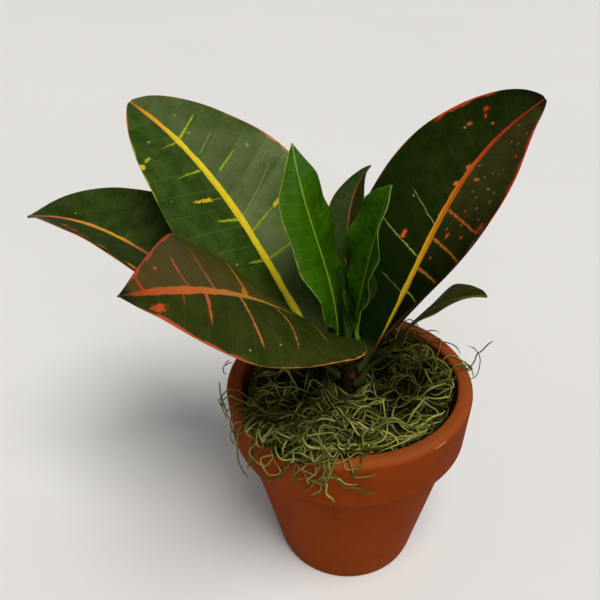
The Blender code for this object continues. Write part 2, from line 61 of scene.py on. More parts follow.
# start: where the midrib's line begins. seat: heading and height on the stem. heading,
# rise, roll, fold, curl_left and curl_right run from the base to the tip, and sway and
# bow bend the midrib sideways and upwards between them. full is where along the blade it
# is widest, blunt how blunt its tip is, and wave a ripple of the margin.
LEAVES = {
    "leaf_back_left": dict(
        start=(-8.3, 0.8, 99.7), seat=(176, 98.5), petiole=13.3, length=133, width=72.7, full=0.5,
        blunt=0.68, heading=(151, 164), sway=-7.5, rise=(57.6, 32), bow=9.6, roll=(-18.3, -10),
        fold=(24, 5), curl_left=(8, -9.5), curl_right=(29, 0), wave=(0.8, 3.0, 0.4)),
    "leaf_left": dict(
        start=(-4.6, 0.3, 104.3), seat=(192, 106.5), petiole=15, length=144, width=61.2,
        full=0.58, blunt=0.95, heading=(193, 166.5), sway=-22.3, rise=(27, -9.5), bow=21.3,
        roll=(-5.4, 2), fold=(24.4, 15.4), curl_left=(21.6, 16.3), curl_right=(27.6, 5.7),
        wave=(0.8, 3.0, 1.4)),
    "leaf_front_left": dict(
        start=(-0.8, -3.1, 117.7), seat=(238, 109.5), petiole=10, length=130.7, width=71.6,
        full=0.39, blunt=1.08, heading=(216, 231), sway=13.8, rise=(45.6, 18.7), bow=6.3,
        roll=(8.9, -42.3), fold=(2.6, -8.5), curl_left=(21.3, -31), curl_right=(10.3, 18.5),
        wave=(1.0, 2.5, 0.2)),
    "young_leaf_left": dict(
        start=(-5.2, -2.4, 118), seat=(178, 113), petiole=5, length=87, width=34, full=0.49,
        blunt=1.04, heading=(183, 156), sway=14, rise=(90, 82), bow=-11, roll=(-15, -27),
        fold=(8, 0), curl_left=(-16, -35), curl_right=(3, 0), wave=(0.9, 3.5, 0.0)),
    "young_leaf_right": dict(
        start=(1.2, -1, 119), seat=(322, 112), petiole=6, length=66, width=30, full=0.59,
        blunt=0.85, heading=(2, 1), sway=7.5, rise=(83, 74), bow=1, roll=(3, 7), fold=(11, 20),
        curl_left=(-4, 12), curl_right=(-8, 3), wave=(1.2, 3.5, 1.0)),
    "leaf_back": dict(
        start=(0.5, 4, 116), seat=(85, 110.5), petiole=6, length=77, width=20, full=0.52,
        blunt=0.89, heading=(100, 49), sway=11, rise=(82, 23), bow=-1, roll=(1, -15),
        fold=(26, 30), curl_left=(-3, -8), curl_right=(-4, 14), wave=(0.5, 3.0, 0.7)),
    "leaf_back_right": dict(
        start=(5.8, -0.4, 101.7), seat=(14, 101), petiole=12, length=134, width=70.3, full=0.44,
        blunt=0.7, heading=(33.5, 0), sway=28.6, rise=(50, 36), bow=3.2, roll=(-5.4, 29.4),
        fold=(22.5, 29), curl_left=(8.6, 49), curl_right=(70, -5), wave=(0.7, 3.0, 2.0)),
    "leaf_right": dict(
        start=(3.7, -2.4, 101.1), seat=(322, 96), petiole=7, length=68.3, width=30.3, full=0.65,
        blunt=1.01, heading=(-8, -32.5), sway=-4.3, rise=(44, 10), bow=28.9, roll=(-6, -5.2),
        fold=(-4.5, 11), curl_left=(-35, 3.5), curl_right=(-41, 6.3), wave=(1.0, 3.0, 0.5)),
}

# Two leaves still folded at the bud, too small for solids of their own.
BUD = dict(
    petiole=3, full=0.45, blunt=0.9, sway=0, bow=0, curl_left=(10, 25), curl_right=(10, 25))
BUD_LEAVES = {
    "bud_leaf_back": dict(
        BUD, start=(-2.0, 2.2, 117), seat=(130, 115), length=36, width=10, heading=(120, 60),
        rise=(84, 88), roll=(-20, -10), fold=(24, 34), wave=(0.2, 2.0, 0.3)),
    "bud_leaf_front": dict(
        BUD, start=(-0.6, -2.0, 118), seat=(255, 115.5), length=24, width=7, heading=(250, 90),
        rise=(80, 88), roll=(10, 20), fold=(26, 38), wave=(0.2, 2.0, 1.3)),
}


# ---------------------------------------------------------------- camera and light
def aim(obj, place, target, roll=0.0):
    """Puts obj at place, looking at target, and turns it by roll about that line."""
    place, target = np.array(place, float), np.array(target, float)
    ahead = unit(target - place)
    right = unit(np.cross(ahead, (0, 0, 1)))
    up = np.cross(right, ahead)
    turned_right = math.cos(roll) * right + math.sin(roll) * up
    turned_up = math.cos(roll) * up - math.sin(roll) * right
    matrix = np.eye(4)
    matrix[:3] = np.stack([turned_right, turned_up, -ahead, place * MM], 1)
    obj.matrix_world = Matrix(matrix.tolist())


def add(name, data):
    """A new object in the scene."""
    obj = bpy.data.objects.new(name, data)
    scene.collection.objects.link(obj)
    return obj


def make_camera():
    """A camera in front of the pot, looking down on it by about a third of a right angle."""
    lens = bpy.data.cameras.new("camera")
    lens.lens, lens.sensor_width, lens.clip_start = 42, 36, 0.01
    scene.camera = add("camera", lens)
    tilt, away, middle = math.radians(32.337), 293.3, (-21.1, 0.0, 139.1)
    place = (middle[0], -away * math.cos(tilt), middle[2] + away * math.sin(tilt))
    aim(scene.camera, place, middle, math.radians(-1.415))


def make_light(name, place, spread, power):
    """A distant soft light that shines from place towards the pot, spread over an angle."""
    lamp = bpy.data.lights.new(name, "SUN")
    lamp.angle, lamp.energy, lamp.color = math.radians(spread), power, (1.0, 0.955, 0.885)
    aim(add(name, lamp), place, (0, 0, 100))


def make_studio():
    """Two soft lights, a dim even sky that the camera sees as a pale backdrop, and a wide
    pale floor."""
    make_light("key_light", (280, -580, 1450), 30, 2.75)
    make_light("front_fill", (150, -1300, 600), 60, 0.75)
    scene.view_settings.view_transform = "Standard"
    scene.world = bpy.data.worlds.new("studio")
    scene.world.use_nodes = True
    tree = scene.world.node_tree
    g = Graph(tree)
    seen = g.node("LightPath").outputs["Is Camera Ray"]
    sky = g.mix(seen, (0.20, 0.196, 0.19), (0.74, 0.73, 0.71))
    g.feed(tree.nodes["Background"].inputs["Color"], sky)
    edge = 12.0
    mesh = bpy.data.meshes.new("floor")
    corners = [(-edge, -edge, 0), (edge, -edge, 0), (edge, edge, 0), (-edge, edge, 0)]
    mesh.from_pydata(corners, [], [(0, 1, 2, 3)])
    mesh.materials.append(floor_finish())
    add("floor", mesh)


# ---------------------------------------------------------------- mesh helpers
def mix(pair, s):
    """The value a share s of the way from the first to the second."""
    return pair[0] + (pair[1] - pair[0]) * s


def unit(vectors):
    """The vectors, made one unit long."""
    return vectors / np.maximum(np.linalg.norm(vectors, axis=-1, keepdims=True), 1e-9)


def ease(x, low, high):
    """0 below low, 1 above high, and a smooth S between them."""
    f = np.clip((x - low) / (high - low), 0, 1)
    return f * f * (3 - 2 * f)


def polar(r, turn, z):
    """Points at radius r, heading turn and height z about the pot's axis."""
    return np.stack(np.broadcast_arrays(r * np.cos(turn), r * np.sin(turn), z), -1)


def grid_faces(rows, cols):
    """Quads between neighbouring rows, the last column joined to the first."""
    i = np.arange(rows - 1)[:, None]
    j = np.arange(cols)[None, :]
    a = i * cols + j
    b = i * cols + (j + 1) % cols
    return np.stack([a, b, b + cols, a + cols], -1).reshape(-1, 4)


def fan(ring, pole):
    """Triangles from each edge of a closed ring to one point."""
    return np.stack([ring, np.roll(ring, -1), np.full(len(ring), pole)], -1)


def capped_faces(rows, cols):
    """A stack of closed rings, with a fan at each end to two points kept after them."""
    size = rows * cols
    return [grid_faces(rows, cols), fan(np.arange(cols)[::-1], size),
            fan(np.arange(size - cols, size), size + 1)]


def solid(name, points, faces, fields=None, sharp=None):
    """Makes the object. faces is a list of arrays of quads or triangles that close the
    surface; they are turned outwards if the volume that they hold comes out negative.
    fields are numbers kept at each point, for the material to read."""
    points = np.asarray(points, float).reshape(-1, 3)
    inside = 0.0
    for block in faces:
        a, b = points[block[:, 0]], points[block[:, 1]]
        for k in range(2, block.shape[1]):
            inside += np.sum(a * np.cross(b, points[block[:, k]]))
            b = points[block[:, k]]
    if inside < 0:
        faces = [block[:, ::-1] for block in faces]
    mesh = bpy.data.meshes.new(name)
    mesh.from_pydata((points * MM).tolist(), [], [f for block in faces for f in block.tolist()])
    mesh.polygons.foreach_set("use_smooth", np.ones(len(mesh.polygons), bool))
    if sharp:
        mesh.set_sharp_from_angle(angle=math.radians(sharp))
    for label, values in (fields or {}).items():
        kept = mesh.attributes.new(label, "FLOAT", "POINT")
        kept.data.foreach_set("value", np.asarray(values, np.float32).ravel())
    mesh.update()
    return add(name, mesh)


def finish_piece(obj, material, slot, *nodes):
    """Gives the piece its material and its body, and hides the model's nodes that it stands
    for. slot is not used.
    """
    obj.data.materials.append(material)
    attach(obj, "root")
    if nodes:
        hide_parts(*nodes)


# ---------------------------------------------------------------- shader helpers
class Value:
    """A socket that adds, subtracts, multiplies and divides as a number does."""

    def __init__(self, graph, socket):
        self.graph, self.socket = graph, socket

    def __add__(self, other):
        return self.graph.math("ADD", self, other)

    def __sub__(self, other):
        return self.graph.math("SUBTRACT", self, other)

    def __rsub__(self, other):
        return self.graph.math("SUBTRACT", other, self)

    def __mul__(self, other):
        return self.graph.math("MULTIPLY", self, other)

    def __truediv__(self, other):
        return self.graph.math("DIVIDE", self, other)

    def __abs__(self):
        return self.graph.math("ABSOLUTE", self)

    def band(self, low, high, start=0.0, end=1.0):
        """start below low, end above high, smooth between."""
        made = self.graph.node("MapRange", {
            "Value": self, "From Min": low, "From Max": high, "To Min": start, "To Max": end},
            interpolation_type="SMOOTHSTEP")
        return Value(self.graph, made.outputs[0])

    def between(self, low, high):
        """1 between the two bands, and 0 outside them."""
        return self.band(*low) * self.band(*high, 1.0, 0.0)


class Graph:
    """Adds nodes to a tree and links them. An input may be a number, a colour or a Value."""

    def __init__(self, tree):
        self.tree = tree

    def node(self, kind, inputs=None, **settings):
        made = self.tree.nodes.new("ShaderNode" + kind)
        for key, value in settings.items():
            setattr(made, key, value)
        for key, value in (inputs or {}).items():
            self.feed(made.inputs[key], value)
        return made

    def feed(self, socket, value):
        value = value.socket if isinstance(value, Value) else value
        if isinstance(value, bpy.types.NodeSocket):
            self.tree.links.new(value, socket)
        elif isinstance(value, tuple) and socket.type == "RGBA":
            socket.default_value = (*value, 1.0)
        else:
            socket.default_value = value

    def math(self, operation, *values, clamp=False):
        made = self.node("Math", dict(enumerate(values)), operation=operation, use_clamp=clamp)
        return Value(self, made.outputs[0])

    def mix(self, factor, a, b):
        """Colour a, turning to b as factor goes from 0 to 1."""
        made = self.node("Mix", data_type="RGBA")
        for index, value in ((0, factor), (6, a), (7, b)):
            self.feed(made.inputs[index], value)
        return Value(self, made.outputs[2])

    def noise(self, vector, scale, detail, output="Fac"):
        made = self.node("TexNoise", {"Vector": vector, "Scale": scale, "Detail": detail})
        return Value(self, made.outputs[output])

    def field(self, label):
        return Value(self, self.node("Attribute", attribute_name=label).outputs["Fac"])

    def parts(self, kind, vector):
        """The three parts of a colour or of a place."""
        made = self.node("Separate" + kind, {0: vector})
        return [Value(self, socket) for socket in made.outputs]

    def ramp(self, value, stops):
        """A colour or a number that runs through (position, colour or number) stops."""
        made = self.node("ValToRGB", {"Fac": value})
        line = made.color_ramp.elements
        while len(line) < len(stops):
            line.new(0.5)
        for element, (place, color) in zip(line, stops):
            element.position = place
            element.color = (*(color if isinstance(color, tuple) else (color,) * 3), 1.0)
        return Value(self, made.outputs[0])

    def use(self, group, **inputs):
        """A node group's outputs by name."""
        made = self.node("Group", node_tree=group)
        for key, value in inputs.items():
            self.feed(made.inputs[key], value)
        return {socket.name: Value(self, socket) for socket in made.outputs}


def node_group(inputs):
    """Turns the function that follows into a node group with the named inputs: Vector is a
    vector and every other one a number. The function works out its outputs, by name."""
    def make(build):
        tree = bpy.data.node_groups.new(build.__name__, "ShaderNodeTree")
        for label in inputs.split():
            kind = "NodeSocketVector" if label == "Vector" else "NodeSocketFloat"
            tree.interface.new_socket(label, in_out="INPUT", socket_type=kind)
        g = Graph(tree)
        start = tree.nodes.new("NodeGroupInput")
        results = build(g, {s.name: Value(g, s) for s in start.outputs if s.name})
        for label in results:
            tree.interface.new_socket(label, in_out="OUTPUT", socket_type="NodeSocketFloat")
        end = tree.nodes.new("NodeGroupOutput")
        for label, value in results.items():
            g.feed(end.inputs[label], value)
        return tree
    return make


@node_group("Along Across Start Lean Bend From To Width Side Ragged")
def side_vein(g, i):
    """One side vein. Its line leaves the midrib at Start and runs outwards with a Lean and
    a Bend, and it shows between the distances From and To from the midrib, on one Side."""
    out = i["Across"] * i["Side"]
    line = i["Start"] + i["Lean"] * out + i["Bend"] * (out * out)
    half = i["Width"] * 0.5 * out.band(i["From"], i["To"], 1.15, 0.7)
    half = half * i["Ragged"].band(0.3, 0.7, 0.6, 1.2)
    core = abs(i["Along"] - line).band(half - 0.22, half + 0.26, 1.0, 0.0)
    core = core * i["Ragged"].band(0.25, 0.55, 0.55, 1.0)
    return {"Mask": core * out.between((i["From"] - 0.7, i["From"] + 0.6),
                                       (i["To"] - 3.0, i["To"] + 0.5))}


@node_group("Along Across At Off Long Wide Ragged")
def leaf_spot(g, i):
    """One spot: an ellipse of half sizes Long and Wide about the place At, Off."""
    a = (i["Along"] - i["At"]) / i["Long"]
    b = (i["Across"] - i["Off"]) / i["Wide"]
    away = g.math("SQRT", a * a + b * b) + (i["Ragged"] - 0.5) * 2.0
    return {"Mask": away.band(0.5, 1.0, 1.0, 0.0)}


@node_group("Along Across Margin Side From To Width Ragged")
def leaf_rim(g, i):
    """A coloured margin of a given Width between the places From and To along one Side."""
    on_side = g.math("GREATER_THAN", i["Across"] * i["Side"], 0.0)
    wide = i["Width"] * i["Ragged"].band(0.35, 0.65, 0.5, 1.5)
    near = i["Margin"].band(wide * 0.6, wide * 1.2, 1.0, 0.0)
    return {"Mask": near * on_side * i["Along"].between((i["From"] - 4.0, i["From"] + 2.0),
                                                        (i["To"] - 2.0, i["To"] + 4.0))}


@node_group("Along Across Spacing Left Right")
def lateral_veins(g, i):
    """The even rank of fine side veins: a thin Line every Spacing, leaning to the tip by
    Left and Right on the two sides, and a Height that swells between the lines."""
    left = g.math("GREATER_THAN", i["Across"], 0.0)
    lean = left * i["Left"] + (1.0 - left) * i["Right"]
    place = i["Along"] - lean * abs(i["Across"]) + left * (i["Spacing"] * 0.4)
    wave = g.math("FRACT", place / i["Spacing"])
    away = (0.5 - abs(wave - 0.5)) * i["Spacing"]
    return {"Line": away.band(0.1, 0.42, 1.0, 0.0), "Height": away.band(0.0, i["Spacing"] * 0.3)}


@node_group("Vector Scale")
def grain_noise(g, i):
    """Coarse, middle and fine noise in one place, each between 0 and 1."""
    vector, scale = i["Vector"], i["Scale"]
    return {"Coarse": g.noise(vector, scale, 3.0), "Middle": g.noise(vector, scale * 4.3, 3.0),
            "Fine": g.noise(vector, scale * 17.0, 2.0)}


@node_group("Vector Scale Share Size")
def pin_spots(g, i):
    """Sparse small round spots of one Size: the middles of a Share of a pattern's cells."""
    cells = g.node("TexVoronoi", {"Vector": i["Vector"], "Scale": i["Scale"]}).outputs
    chosen = g.math("LESS_THAN", g.parts("Color", cells["Color"])[0], i["Share"])
    near = Value(g, cells["Distance"]).band(i["Size"] * 0.6, i["Size"], 1.0, 0.0)
    return {"Mask": near * chosen}


def new_material(name, scale, along_z=None):
    """A material, its graph, the place on the piece, and grain of one scale, drawn out along
    Z where along_z is below 1."""
    made = bpy.data.materials.new(name)
    made.use_nodes = True
    g = Graph(made.node_tree)
    place = at = g.node("TexCoord").outputs["Object"]
    if along_z:
        at = g.node("Mapping", {"Vector": place, "Scale": (1.0, 1.0, along_z)}).outputs[0]
    return made, g, place, g.use(grain_noise, Vector=at, Scale=scale)


def finish(made, g, color, rough, level=None, tint=None, height=None, distance=None):
    """Feeds the material's shader its colour, roughness and bump, and sets how much it
    shines and in what tint."""
    shader = made.node_tree.nodes["Principled BSDF"]
    g.feed(shader.inputs["Base Color"], color)
    g.feed(shader.inputs["Roughness"], rough)
    if level is not None:
        shader.inputs["Specular IOR Level"].default_value = level
        shader.inputs["Specular Tint"].default_value = (*tint, 1.0)
        bump = g.node("Bump", {"Height": height, "Distance": distance})
        g.feed(shader.inputs["Normal"], bump.outputs[0])
    return made


# ---------------------------------------------------------------- leaf finishes
YELLOW, ORANGE, RED = (0.52, 0.40, 0.008), (0.62, 0.17, 0.010), (0.42, 0.035, 0.008)
PINK, LIME, PALE = (0.44, 0.11, 0.045), (0.26, 0.36, 0.010), (0.19, 0.25, 0.06)
GOLD, RUST, STALK = (0.66, 0.50, 0.012), (0.45, 0.13, 0.02), (0.028, 0.034, 0.008)

# Lengths are in mm, along the blade from its base, and across or out from the midrib.
# blade and light are the two greens that drift into each other, and under the lower
# face's colour. half is the tint of one half: its side, colour, amount, and how far out it
# fades; low is its colour nearer the base. On leaf_back_left both are a painted sheen. base
# is a painted shade that darkens the blade towards its base, and tip and stalk are the
# colours of those ends, and core of a line down the midrib. gloss is the roughness, shine
# how much the surface reflects. spacing and lean (left, right) place the fine side veins,
# fine is how plain they are, and pins the share of pale pin spots. bulge swells the blade at
# a share of its length: at, by what share, over what spread, and by how much more to left
# and right.
# rib: stops along the blade of the midrib's colour and width. veins: side, start, lean,
# from, to, width, bend where there is one, colour. spots: at, off, long, wide, colour.
# rims: side, from, to, width, colour.
LOOKS = {
    "leaf_back_left": dict(
        blade=(0.016, 0.042, 0.004), light=(0.042, 0.074, 0.011), under=(0.035, 0.075, 0.012),
        # low and half: a painted sheen on the right half, brighter nearer the base.
        low=(0.155, 0.21, 0.078), half=(R, (0.074, 0.104, 0.038), 0.8, 26), gloss=0.34,
        shine=0.13, spacing=9.5, lean=(0.3, 0.32), fine=0.3, pins=0.08,
        # The rib's stops near the base are its own yellow, made paler still as painted light.
        rib=((0.0, (0.9, 0.84, 0.03), 3.0), (0.03, (0.96, 0.88, 0.04), 3.7),
            (0.22, (0.9, 0.76, 0.025), 3.6), (0.5, GOLD, 3.3), (0.8, (0.64, 0.46, 0.012), 2.7),
            (0.89, (0.6, 0.27, 0.012), 2.2), (0.94, ORANGE, 1.8), (0.985, RED, 0.8)),
        veins=((R, 107.6, 0.25, 1.5, 16.5, 0.8, LIME),
            (R, 96.5, 0.36, 4, 15.6, 0.35, PALE), (R, 86.1, 0.27, 5.5, 18, 0.6, LIME),
            (R, 65.7, 0.44, 1.5, 26, 0.32, 0.002, PALE), (R, 58.7, 0.27, 1.5, 17, 0.7, LIME),
            (R, 58.7, 0.27, 16, 24, 1.5, YELLOW), (R, 45.1, 0.06, 2, 15, 1.0, LIME),
            (L, 107.1, 0.14, 2, 11, 0.5, LIME), (L, 91.9, 0.18, 2.5, 16.5, 0.7, LIME),
            (L, 76.9, 0.34, 3, 9, 0.3, LIME), (L, 76.9, 0.34, 8, 18, 1.6, YELLOW),
            (L, 65.9, 0.38, 1.8, 13, 1.2, LIME), (L, 45.5, 0.33, 2.5, 11, 1.1, LIME)),
        spots=((107.2, 25.2, 2.2, 1.6, YELLOW), (108.4, 20.5, 0.8, 2.6, LIME),
            (89.1, -23.4, 0.9, 1.1, (0.22, 0.12, 0.035)), (107.4, -6.6, 0.7, 0.7, PALE),
            (114.1, 12.6, 0.8, 0.8, PALE), (116.5, -8.9, 0.6, 0.6, PALE)),
        rims=((R, 74, 99, 0.8, RUST), (R, 99, 131, 0.35, RUST),
            (L, 116, 131, 0.5, RUST), (L, 92, 116, 0.5, LIME))),
    "leaf_left": dict(
        blade=(0.01, 0.027, 0.003), light=(0.03, 0.052, 0.007), under=(0.035, 0.06, 0.014),
        half=(L, (0.028, 0.046, 0.014), 0.6, 60), gloss=0.4, shine=0.1, spacing=10.5,
        lean=(0.3, 0.3), fine=0.3, pins=0.04, veins=(),
        rib=((0.0, (0.06, 0.05, 0.012), 1.4), (0.1, PINK, 1.4), (0.6, PINK, 1.6),
            (0.68, (0.62, 0.33, 0.02), 1.9), (0.82, (0.66, 0.24, 0.04), 1.9), (0.95, PINK, 1.3)),
        spots=((115.5, 13.2, 2.6, 1.1, (0.52, 0.12, 0.04)),
            (109.5, 17.6, 3.0, 1.5, (0.5, 0.08, 0.03)),
            (101.6, 21.6, 4.5, 0.9, (0.52, 0.12, 0.03)),
            (92.3, 24.0, 2.6, 1.3, (0.55, 0.16, 0.03)), (78.4, 24.0, 3.5, 2.2, (0.58, 0.2, 0.02)),
            (122.1, -4.2, 0.5, 0.5, PALE), (81.1, -24.4, 0.6, 0.6, PALE)),
        rims=((L, 50, 126, 0.8, (0.5, 0.11, 0.02)), (R, 95, 112, 0.4, (0.3, 0.22, 0.02)))),
    "leaf_front_left": dict(
        blade=(0.017, 0.029, 0.003), light=(0.033, 0.041, 0.005), under=(0.06, 0.04, 0.02),
        half=(R, (0.086, 0.058, 0.014), 0.8, 45), gloss=0.42, shine=0.1, spacing=10.0,
        lean=(0.45, -0.3), fine=0.25, pins=0.06, tip=(0.012, 0.008, 0.006),
        rib=((0.0, (0.4, 0.24, 0.03), 0.8), (0.22, (0.48, 0.3, 0.03), 1.1),
            (0.42, (0.54, 0.28, 0.02), 2.1), (0.62, (0.56, 0.18, 0.026), 2.9),
            (0.78, (0.52, 0.11, 0.026), 3.0), (0.91, (0.44, 0.06, 0.02), 2.4),
            (0.95, (0.34, 0.03, 0.01), 1.4), (0.985, (0.012, 0.008, 0.006), 0.3)),
        veins=((R, 121.3, 0.0, 0, 6.5, 1.4, RED), (R, 101.6, -0.03, 2, 9, 0.6, PINK),
            (R, 101.6, -0.03, 7, 14.2, 1.2, (0.36, 0.08, 0.035)),
            (R, 89.2, -0.42, 1.0, 25, 1.1, (0.4, 0.1, 0.035)),
            (R, 70.5, -1.25, 0, 35, 2.2, 0.0125, (0.46, 0.17, 0.02)),
            (R, 71.0, -1.1, 0, 9, 3.8, (0.5, 0.19, 0.02)), (L, 106.2, 0.4, 1, 4.8, 0.8, RED),
            (L, 95.3, 0.4, 1.0, 12.5, 1.2, (0.44, 0.08, 0.025)),
            (L, 75.9, 0.4, 1.0, 22.5, 1.2, -0.005, (0.44, 0.14, 0.03)),
            (L, 52.0, 0.36, 1, 26, 1.2, 0.011, (0.36, 0.13, 0.025)),
            (L, 25.5, 0.8, 0, 24.5, 1.1, 0.005, (0.3, 0.11, 0.025))),
        spots=((118.4, 4.9, 3.2, 1.5, (0.46, 0.06, 0.015)),
            (111.9, -8.4, 0.9, 0.9, (0.3, 0.08, 0.04)), (88.5, 22.0, 0.5, 0.5, PALE),
            (75.0, 22.7, 0.5, 0.5, PALE)),
        rims=((L, 94, 122, 1.0, (0.42, 0.07, 0.03)),
            (L, 30, 66, 0.55, (0.5, 0.17, 0.02)), (L, 20, 30, 0.3, (0.24, 0.11, 0.02)),
            (L, 66, 96, 0.4, (0.28, 0.11, 0.03)), (R, 86, 122, 1.0, (0.36, 0.05, 0.025)),
            (R, 40, 88, 0.35, (0.2, 0.09, 0.05)))),
    "young_leaf_left": dict(
        blade=(0.01, 0.057, 0.0004), light=(0.036, 0.114, 0.002), under=(0.05, 0.12, 0.01),
        half=(L, (0.032, 0.106, 0.001), 0.6, 60), stalk=(0.06, 0.12, 0.006), gloss=0.2, shine=0.3,
        spacing=4.6, lean=(0.45, 0.35), fine=0.14, pins=0.05, bulge=(0.13, 0.3, 0.13, 0, 4.0),
        veins=(), spots=(),
        rib=((0.0, (0.2, 0.3, 0.01), 3.0), (0.35, (0.2, 0.32, 0.01), 2.1),
            (0.7, (0.2, 0.32, 0.02), 1.0), (0.98, (0.2, 0.32, 0.04), 0.6)),
        rims=((L, 10, 85, 0.3, (0.22, 0.36, 0.05)), (R, 10, 85, 0.25, (0.12, 0.26, 0.03)))),
    "young_leaf_right": dict(
        blade=(0.014, 0.066, 0.001), light=(0.04, 0.118, 0.003), under=(0.05, 0.12, 0.01),
        half=(R, (0.038, 0.112, 0.003), 0.6, 60), stalk=(0.05, 0.1, 0.006), gloss=0.26,
        shine=0.25, spacing=4.4, lean=(0.45, 0.45), fine=0.12, pins=0.03,
        bulge=(0.15, 0.25, 0.14, 0, 0), veins=(), spots=(),
        rib=((0.0, (0.12, 0.22, 0.01), 2.2), (0.4, (0.16, 0.28, 0.02), 1.4),
            (0.98, (0.16, 0.3, 0.03), 0.6)),
        rims=((R, 10, 64, 0.3, (0.14, 0.28, 0.03)), (L, 10, 64, 0.25, (0.12, 0.26, 0.03)))),
    "leaf_back": dict(
        blade=(0.012, 0.026, 0.004), light=(0.02, 0.036, 0.006), under=(0.04, 0.05, 0.015),
        half=(R, (0.03, 0.026, 0.006), 0.7, 60), gloss=0.48, shine=0.04, spacing=6.0,
        lean=(0.4, 0.4), fine=0.25, pins=0.03, bulge=(0.17, 1.1, 0.15, 0, 0), veins=(), spots=(),
        rib=((0.0, (0.02, 0.03, 0.008), 0.6), (0.5, (0.016, 0.022, 0.005), 0.6),
            (0.62, (0.17, 0.075, 0.02), 0.9), (0.98, (0.15, 0.06, 0.02), 0.4)),
        rims=((L, 10, 76, 0.3, (0.1, 0.07, 0.02)),)),
    "leaf_back_right": dict(
        blade=(0.006, 0.015, 0.001), light=(0.016, 0.023, 0.003), under=(0.06, 0.018, 0.014),
        half=(R, (0.052, 0.05, 0.013), 0.75, 60), core=(0.34, 0.03, 0.008), gloss=0.38,
        # base: a painted shade that darkens the blade towards its base.
        shine=0.015, base=(0.002, 0.008, 0.0005), spacing=10.0, lean=(0.42, -0.33), fine=0.15,
        pins=0.22, tip=(0.011, 0.011, 0.005),
        rib=((0.0, (0.04, 0.04, 0.01), 0.4), (0.08, (0.46, 0.33, 0.02), 1.0),
            (0.22, (0.58, 0.37, 0.012), 2.7), (0.45, (0.6, 0.27, 0.01), 2.8),
            (0.6, (0.54, 0.14, 0.01), 2.3), (0.75, (0.42, 0.06, 0.012), 2.0),
            (0.86, (0.28, 0.03, 0.012), 1.5), (0.93, (0.08, 0.012, 0.006), 0.8)),
        veins=((L, 60.0, 0.53, 1.5, 18, 0.45, (0.22, 0.24, 0.05)),
            (L, 43.8, 0.36, 2, 24, 0.65, (0.2, 0.25, 0.05)),
            (L, 26.6, 0.37, 1.5, 14, 0.4, (0.1, 0.16, 0.01)),
            (R, 69.7, -0.36, 2, 28.5, 1.3, (0.44, 0.11, 0.02)),
            (R, 54.9, -0.33, 1.5, 31, 1.3, (0.42, 0.15, 0.015)),
            (R, 39.9, -0.25, 1.2, 23, 1.2, (0.38, 0.15, 0.015)),
            (R, 28.6, -0.3, 1.5, 14, 0.6, LIME)),
        spots=((112.7, 13.2, 2.0, 1.3, RED), (110.6, 11.2, 1.1, 0.9, RED),
            (103.6, 14.0, 1.6, 1.0, (0.32, 0.09, 0.03)),
            (110.9, 6.2, 0.9, 0.8, (0.32, 0.07, 0.02)), (117.6, -4.4, 0.9, 0.9, RED),
            (115.8, -14.2, 0.9, 0.9, RED), (109.7, -15.0, 1.3, 0.8, RED),
            (102.4, -19.9, 1.2, 0.9, RED), (51.3, 11.6, 2.6, 1.2, (0.46, 0.07, 0.015)),
            (56.7, -8.8, 1.8, 1.4, (0.38, 0.11, 0.015)),
            (57.3, -18.7, 1.2, 1.2, (0.36, 0.1, 0.015)),
            (45.2, -5.7, 1.3, 0.6, (0.3, 0.11, 0.03)),
            (61.6, -29.0, 3.0, 2.2, (0.42, 0.06, 0.03)),
            (76.0, -24.0, 1.1, 0.9, (0.2, 0.1, 0.03)),
            (70.0, -12.0, 0.8, 0.8, (0.18, 0.09, 0.02)),
            (91.0, -14.0, 0.8, 0.7, (0.24, 0.08, 0.02)), (106.5, 26.0, 1.6, 1.2, RED),
            (98.0, 27.5, 1.3, 0.9, (0.26, 0.06, 0.02)), (63.0, -14.0, 0.9, 0.7, (0.3, 0.1, 0.02)),
            (88.0, -11.0, 0.7, 0.9, (0.22, 0.13, 0.03)),
            (80.0, -9.5, 0.9, 0.7, (0.26, 0.11, 0.02)),
            (77.5, -13.5, 0.7, 0.7, (0.2, 0.15, 0.04)),
            (72.0, -18.0, 0.9, 0.7, (0.22, 0.15, 0.04)),
            (94.0, -18.5, 0.8, 0.6, (0.24, 0.1, 0.02)),
            (81.0, -23.0, 0.8, 0.8, (0.28, 0.09, 0.02)),
            (66.5, -24.0, 0.7, 0.9, (0.26, 0.13, 0.03)),
            (99.0, -9.0, 0.6, 0.6, (0.2, 0.12, 0.04)), (60.0, -7.0, 0.9, 0.8, (0.28, 0.11, 0.02)),
            (85.9, -6.9, 1.1, 2.0, (0.34, 0.12, 0.025)),
            (90.0, 1.5, 1.6, 1.0, (0.36, 0.09, 0.02)), (81.0, 1.8, 1.8, 1.1, (0.4, 0.14, 0.02)),
            (82.6, -17.5, 0.8, 1.4, (0.2, 0.14, 0.03))),
        rims=((R, 56, 122, 1.3, (0.4, 0.04, 0.02)),
            (L, 97, 117, 1.6, (0.44, 0.05, 0.012)), (L, 40, 88, 0.3, (0.12, 0.05, 0.02)),
            (R, 8, 62, 2.5, (0.4, 0.16, 0.11)), (R, 8, 64, 1.9, (0.045, 0.01, 0.007)))),
    "leaf_right": dict(
        bulge=(0.2, 0.0, 0.16, 5.5, 2.8), blade=(0.016, 0.025, 0.001),
        light=(0.032, 0.038, 0.003), under=(0.026, 0.024, 0.004),
        half=(R, (0.032, 0.03, 0.004), 0.5, 60), gloss=0.55, shine=0.02, spacing=6.5,
        lean=(0.4, 0.4), fine=0.2, pins=0.1, veins=(),
        rib=((0.0, (0.03, 0.035, 0.008), 1.0), (0.3, (0.05, 0.05, 0.01), 1.0),
            (0.5, (0.14, 0.12, 0.03), 1.0), (0.98, (0.12, 0.1, 0.03), 0.5)),
